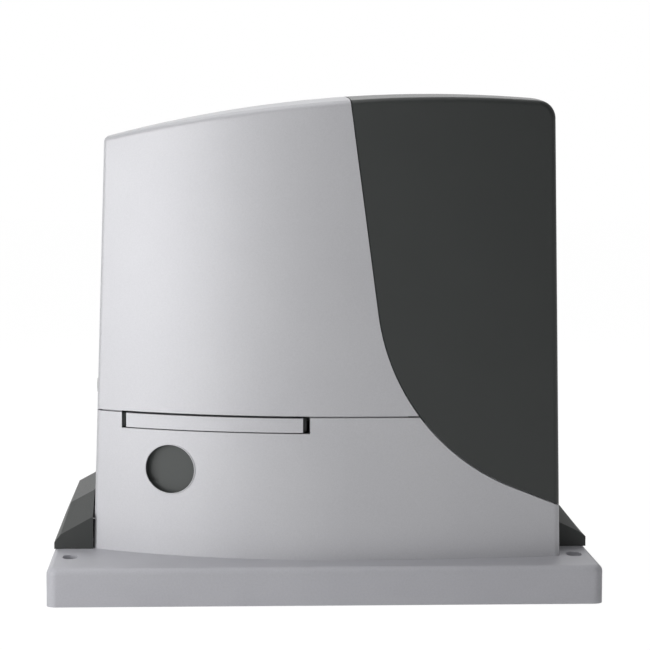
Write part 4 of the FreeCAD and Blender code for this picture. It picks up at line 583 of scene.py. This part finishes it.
def fuse_tube():
    """A glass fuse with its end caps in two clips."""
    glass_radius, glass_length, glass_edge = 2.5 * MM, 14 * MM, 0.3 * MM
    cap_radius, cap_length, cap_out, edge = 2.7 * MM, 4.6 * MM, 8.2 * MM, 0.4 * MM
    clip_size = (7 * MM, 2.4 * MM, 3 * MM)
    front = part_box("fuse_holder")[0].y
    centre = middle("fuse_holder")
    axis_y, clip_y = front - 2.4 * MM, front - 1 * MM
    ends = [centre.z + side * cap_out for side in (-1, 1)]
    glass = disc((centre.x, axis_y, centre.z), glass_radius, glass_length, sides=24,
                 axis="Z", edge=glass_edge)
    fitted(glass, "fuse_tube", fuse_glass)
    caps = [disc((centre.x, axis_y, z), cap_radius, cap_length, sides=24, axis="Z",
                 edge=edge) for z in ends]
    clips = [block((centre.x, clip_y, z), clip_size, edge) for z in ends]
    fitted(joined(caps + clips), "fuse_clips", zinc_plate)


def receiver_shield():
    """The receiver's tinned shield with two columns of tuning holes."""
    side_margin, end_margin = 2.5 * MM, 4 * MM
    thick, edge, stand = 1.2 * MM, 0.4 * MM, 0.5 * MM
    hole_radius, hole_depth, hole_edge, hole_stand = 1.5 * MM, 0.3 * MM, 0.1 * MM, 1.1 * MM
    hole_out, hole_pitch = 6 * MM, 9 * MM
    low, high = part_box("receiver_module")
    centre = middle("receiver_module")
    width, height = high.x - low.x - 2 * side_margin, high.z - low.z - 2 * end_margin
    shield = block((centre.x, low.y - stand, centre.z), (width, thick, height), edge)
    fitted(shield, "receiver_shield", zinc_plate)
    hole = disc((0, 0, 0), hole_radius, hole_depth, sides=20, edge=hole_edge)
    places = [(centre.x + side * hole_out, low.y - hole_stand, centre.z + up * hole_pitch)
              for side in (-1, 1) for up in (-1, 0, 1)]
    fitted(joined(copies(hole, places)), "receiver_cans", black_epoxy)


def motor_tabs():
    """Two spade terminals standing on the motor's end cap."""
    tab_size, tab_lift, tab_edge = (4.8 * MM, 0.8 * MM, 7.5 * MM), 3.5 * MM, 0.25 * MM
    foot_size, foot_lift, foot_edge = (8 * MM, 4 * MM, 1.4 * MM), 0.6 * MM, 0.3 * MM
    off_axis = 17 * MM
    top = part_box("motor_cap")[1].z
    centre = middle("motor_cap")
    rows = [centre.y + side * off_axis for side in (-1, 1)]
    tabs = [block((centre.x, y, top + tab_lift), tab_size, tab_edge) for y in rows]
    feet = [block((centre.x, y, top + foot_lift), foot_size, foot_edge) for y in rows]
    fitted(joined(tabs + feet), "motor_tabs", bronze)


deselect()
window_rim()
painted_slot_shades()
terminal_screws()
processor_legs()
board_chips()
status_lamps()
capacitor_tops()
fuse_tube()
receiver_shield()
skirt_screws()
motor_tabs()


# ---------------------------------------------------------------------------------------
# Studio and camera
# ---------------------------------------------------------------------------------------

def paper_floor():
    """A white paper floor that is seen as white, and still takes the motor's shadow."""
    size, drop = 12, 0.5 * MM       # the drop keeps it clear of the base's underside
    glow_strength, glow_share = 1.06, 0.93
    material, tree, _ = blank("Matt_White_Paper")
    rays = put(tree, "LightPath")
    seen = put(tree, "Math", {0: rays.outputs["Is Camera Ray"],
                              1: rays.outputs["Is Glossy Ray"]}, operation="MAXIMUM")
    paper = put(tree, "BsdfPrincipled", {"Base Color": colour("E6E6E6"), "Roughness": 0.9})
    glow = put(tree, "Emission", {"Color": (1, 1, 1, 1), "Strength": glow_strength})
    share = put(tree, "Math", {0: seen.outputs[0], 1: glow_share}, operation="MULTIPLY")
    mixed = put(tree, "MixShader", {0: share.outputs[0], 1: paper.outputs[0],
                                    2: glow.outputs[0]})
    close(material, tree, mixed)
    bpy.ops.mesh.primitive_plane_add(size=size, location=(0, 0, -drop))
    floor = bpy.context.object
    floor.name = "Floor"
    floor.data.materials.append(material)


def white_room():
    """The world: white to look at, dim as a light, and shaded for reflections."""
    dim = 0.14
    world = bpy.data.worlds.new("Studio")
    bpy.context.scene.world = world
    world.use_nodes = True
    tree = world.node_tree
    tree.nodes.clear()
    rays = put(tree, "LightPath")
    # Gloss meets the white sweep behind the motor, a darker room in front of it, and more
    # light at its left than at its right.
    way = put(tree, "SeparateXYZ", {0: put(tree, "TexCoord").outputs["Generated"]})
    depth = put(tree, "MapRange", {"Value": way.outputs["Y"], "From Min": -0.5,
                                   "From Max": 0.5, "To Min": 0.12, "To Max": 1.0})
    side = put(tree, "MapRange", {"Value": way.outputs["X"], "From Min": -0.9,
                                  "From Max": 0.9, "To Min": 1.2, "To Max": 0.6})
    room = put(tree, "Math", {0: depth.outputs[0], 1: side.outputs[0]}, operation="MULTIPLY")
    glossy = put(tree, "Math", {0: rays.outputs["Is Glossy Ray"], 1: room.outputs[0]},
                 operation="MULTIPLY")
    clear = put(tree, "Math", {0: rays.outputs["Is Camera Ray"],
                               1: rays.outputs["Is Transmission Ray"]}, operation="MAXIMUM")
    seen = put(tree, "Math", {0: clear.outputs[0], 1: glossy.outputs[0]}, operation="MAXIMUM")
    strength = put(tree, "Math", {0: seen.outputs[0], 1: dim}, operation="MAXIMUM")
    back = put(tree, "Background", {"Color": (1, 1, 1, 1), "Strength": strength.outputs[0]})
    put(tree, "OutputWorld", {"Surface": back.outputs[0]})


def lamp(name, place, aim, power, width, height):
    """A soft rectangular lamp at a place, turned to the point it lights."""
    data = bpy.data.lights.new(name, "AREA")
    data.energy = power
    data.shape = "RECTANGLE"
    data.size = width
    data.size_y = height
    thing = bpy.data.objects.new(name, data)
    bpy.context.scene.collection.objects.link(thing)
    thing.location = place
    thing.rotation_euler = (Vector(aim) - Vector(place)).to_track_quat("-Z", "Y").to_euler()


def lamps():
    """A low key at the left, a wide fill in front, one overhead and one behind."""
    lamp("Key", (-0.64, -0.48, 0.16), aim=(0, 0, 0.08), power=3.9, width=0.6, height=0.6)
    lamp("Fill", (-0.1, -1.8, 0.9), aim=(0, 0, 0.12), power=3.8, width=1.6, height=1.6)
    lamp("Overhead", (-0.3, -0.2, 1.3), aim=(0, 0, 0.05), power=5.5, width=1.2, height=1.0)
    lamp("Rear", (-0.1, 1.1, 1.0), aim=(0, 0.1, 0.2), power=3.5, width=1.6, height=0.9)


def viewpoint():
    """A long lens in front, a little left of the middle and just below the top's height."""
    lens_mm, place = 126.25, (-0.0655, -1.4175, 0.2778)
    # Tilted down, turned a little to the right and rolled by a sixth of a degree.
    down, turn, roll = math.radians(4.786), math.radians(-2.77), math.radians(0.167)
    data = bpy.data.cameras.new("Camera")
    data.sensor_width = 36
    data.lens = lens_mm
    data.clip_start, data.clip_end = 0.05, 50
    thing = bpy.data.objects.new("Camera", data)
    bpy.context.scene.collection.objects.link(thing)
    thing.location = place
    thing.rotation_euler = (Matrix.Rotation(turn, 3, "Z")
                            @ Matrix.Rotation(QUARTER_TURN - down, 3, "X")
                            @ Matrix.Rotation(roll, 3, "Z")).to_euler()
    bpy.context.scene.camera = thing


bpy.context.scene.view_settings.view_transform = "Standard"
paper_floor()
white_room()
lamps()
viewpoint()
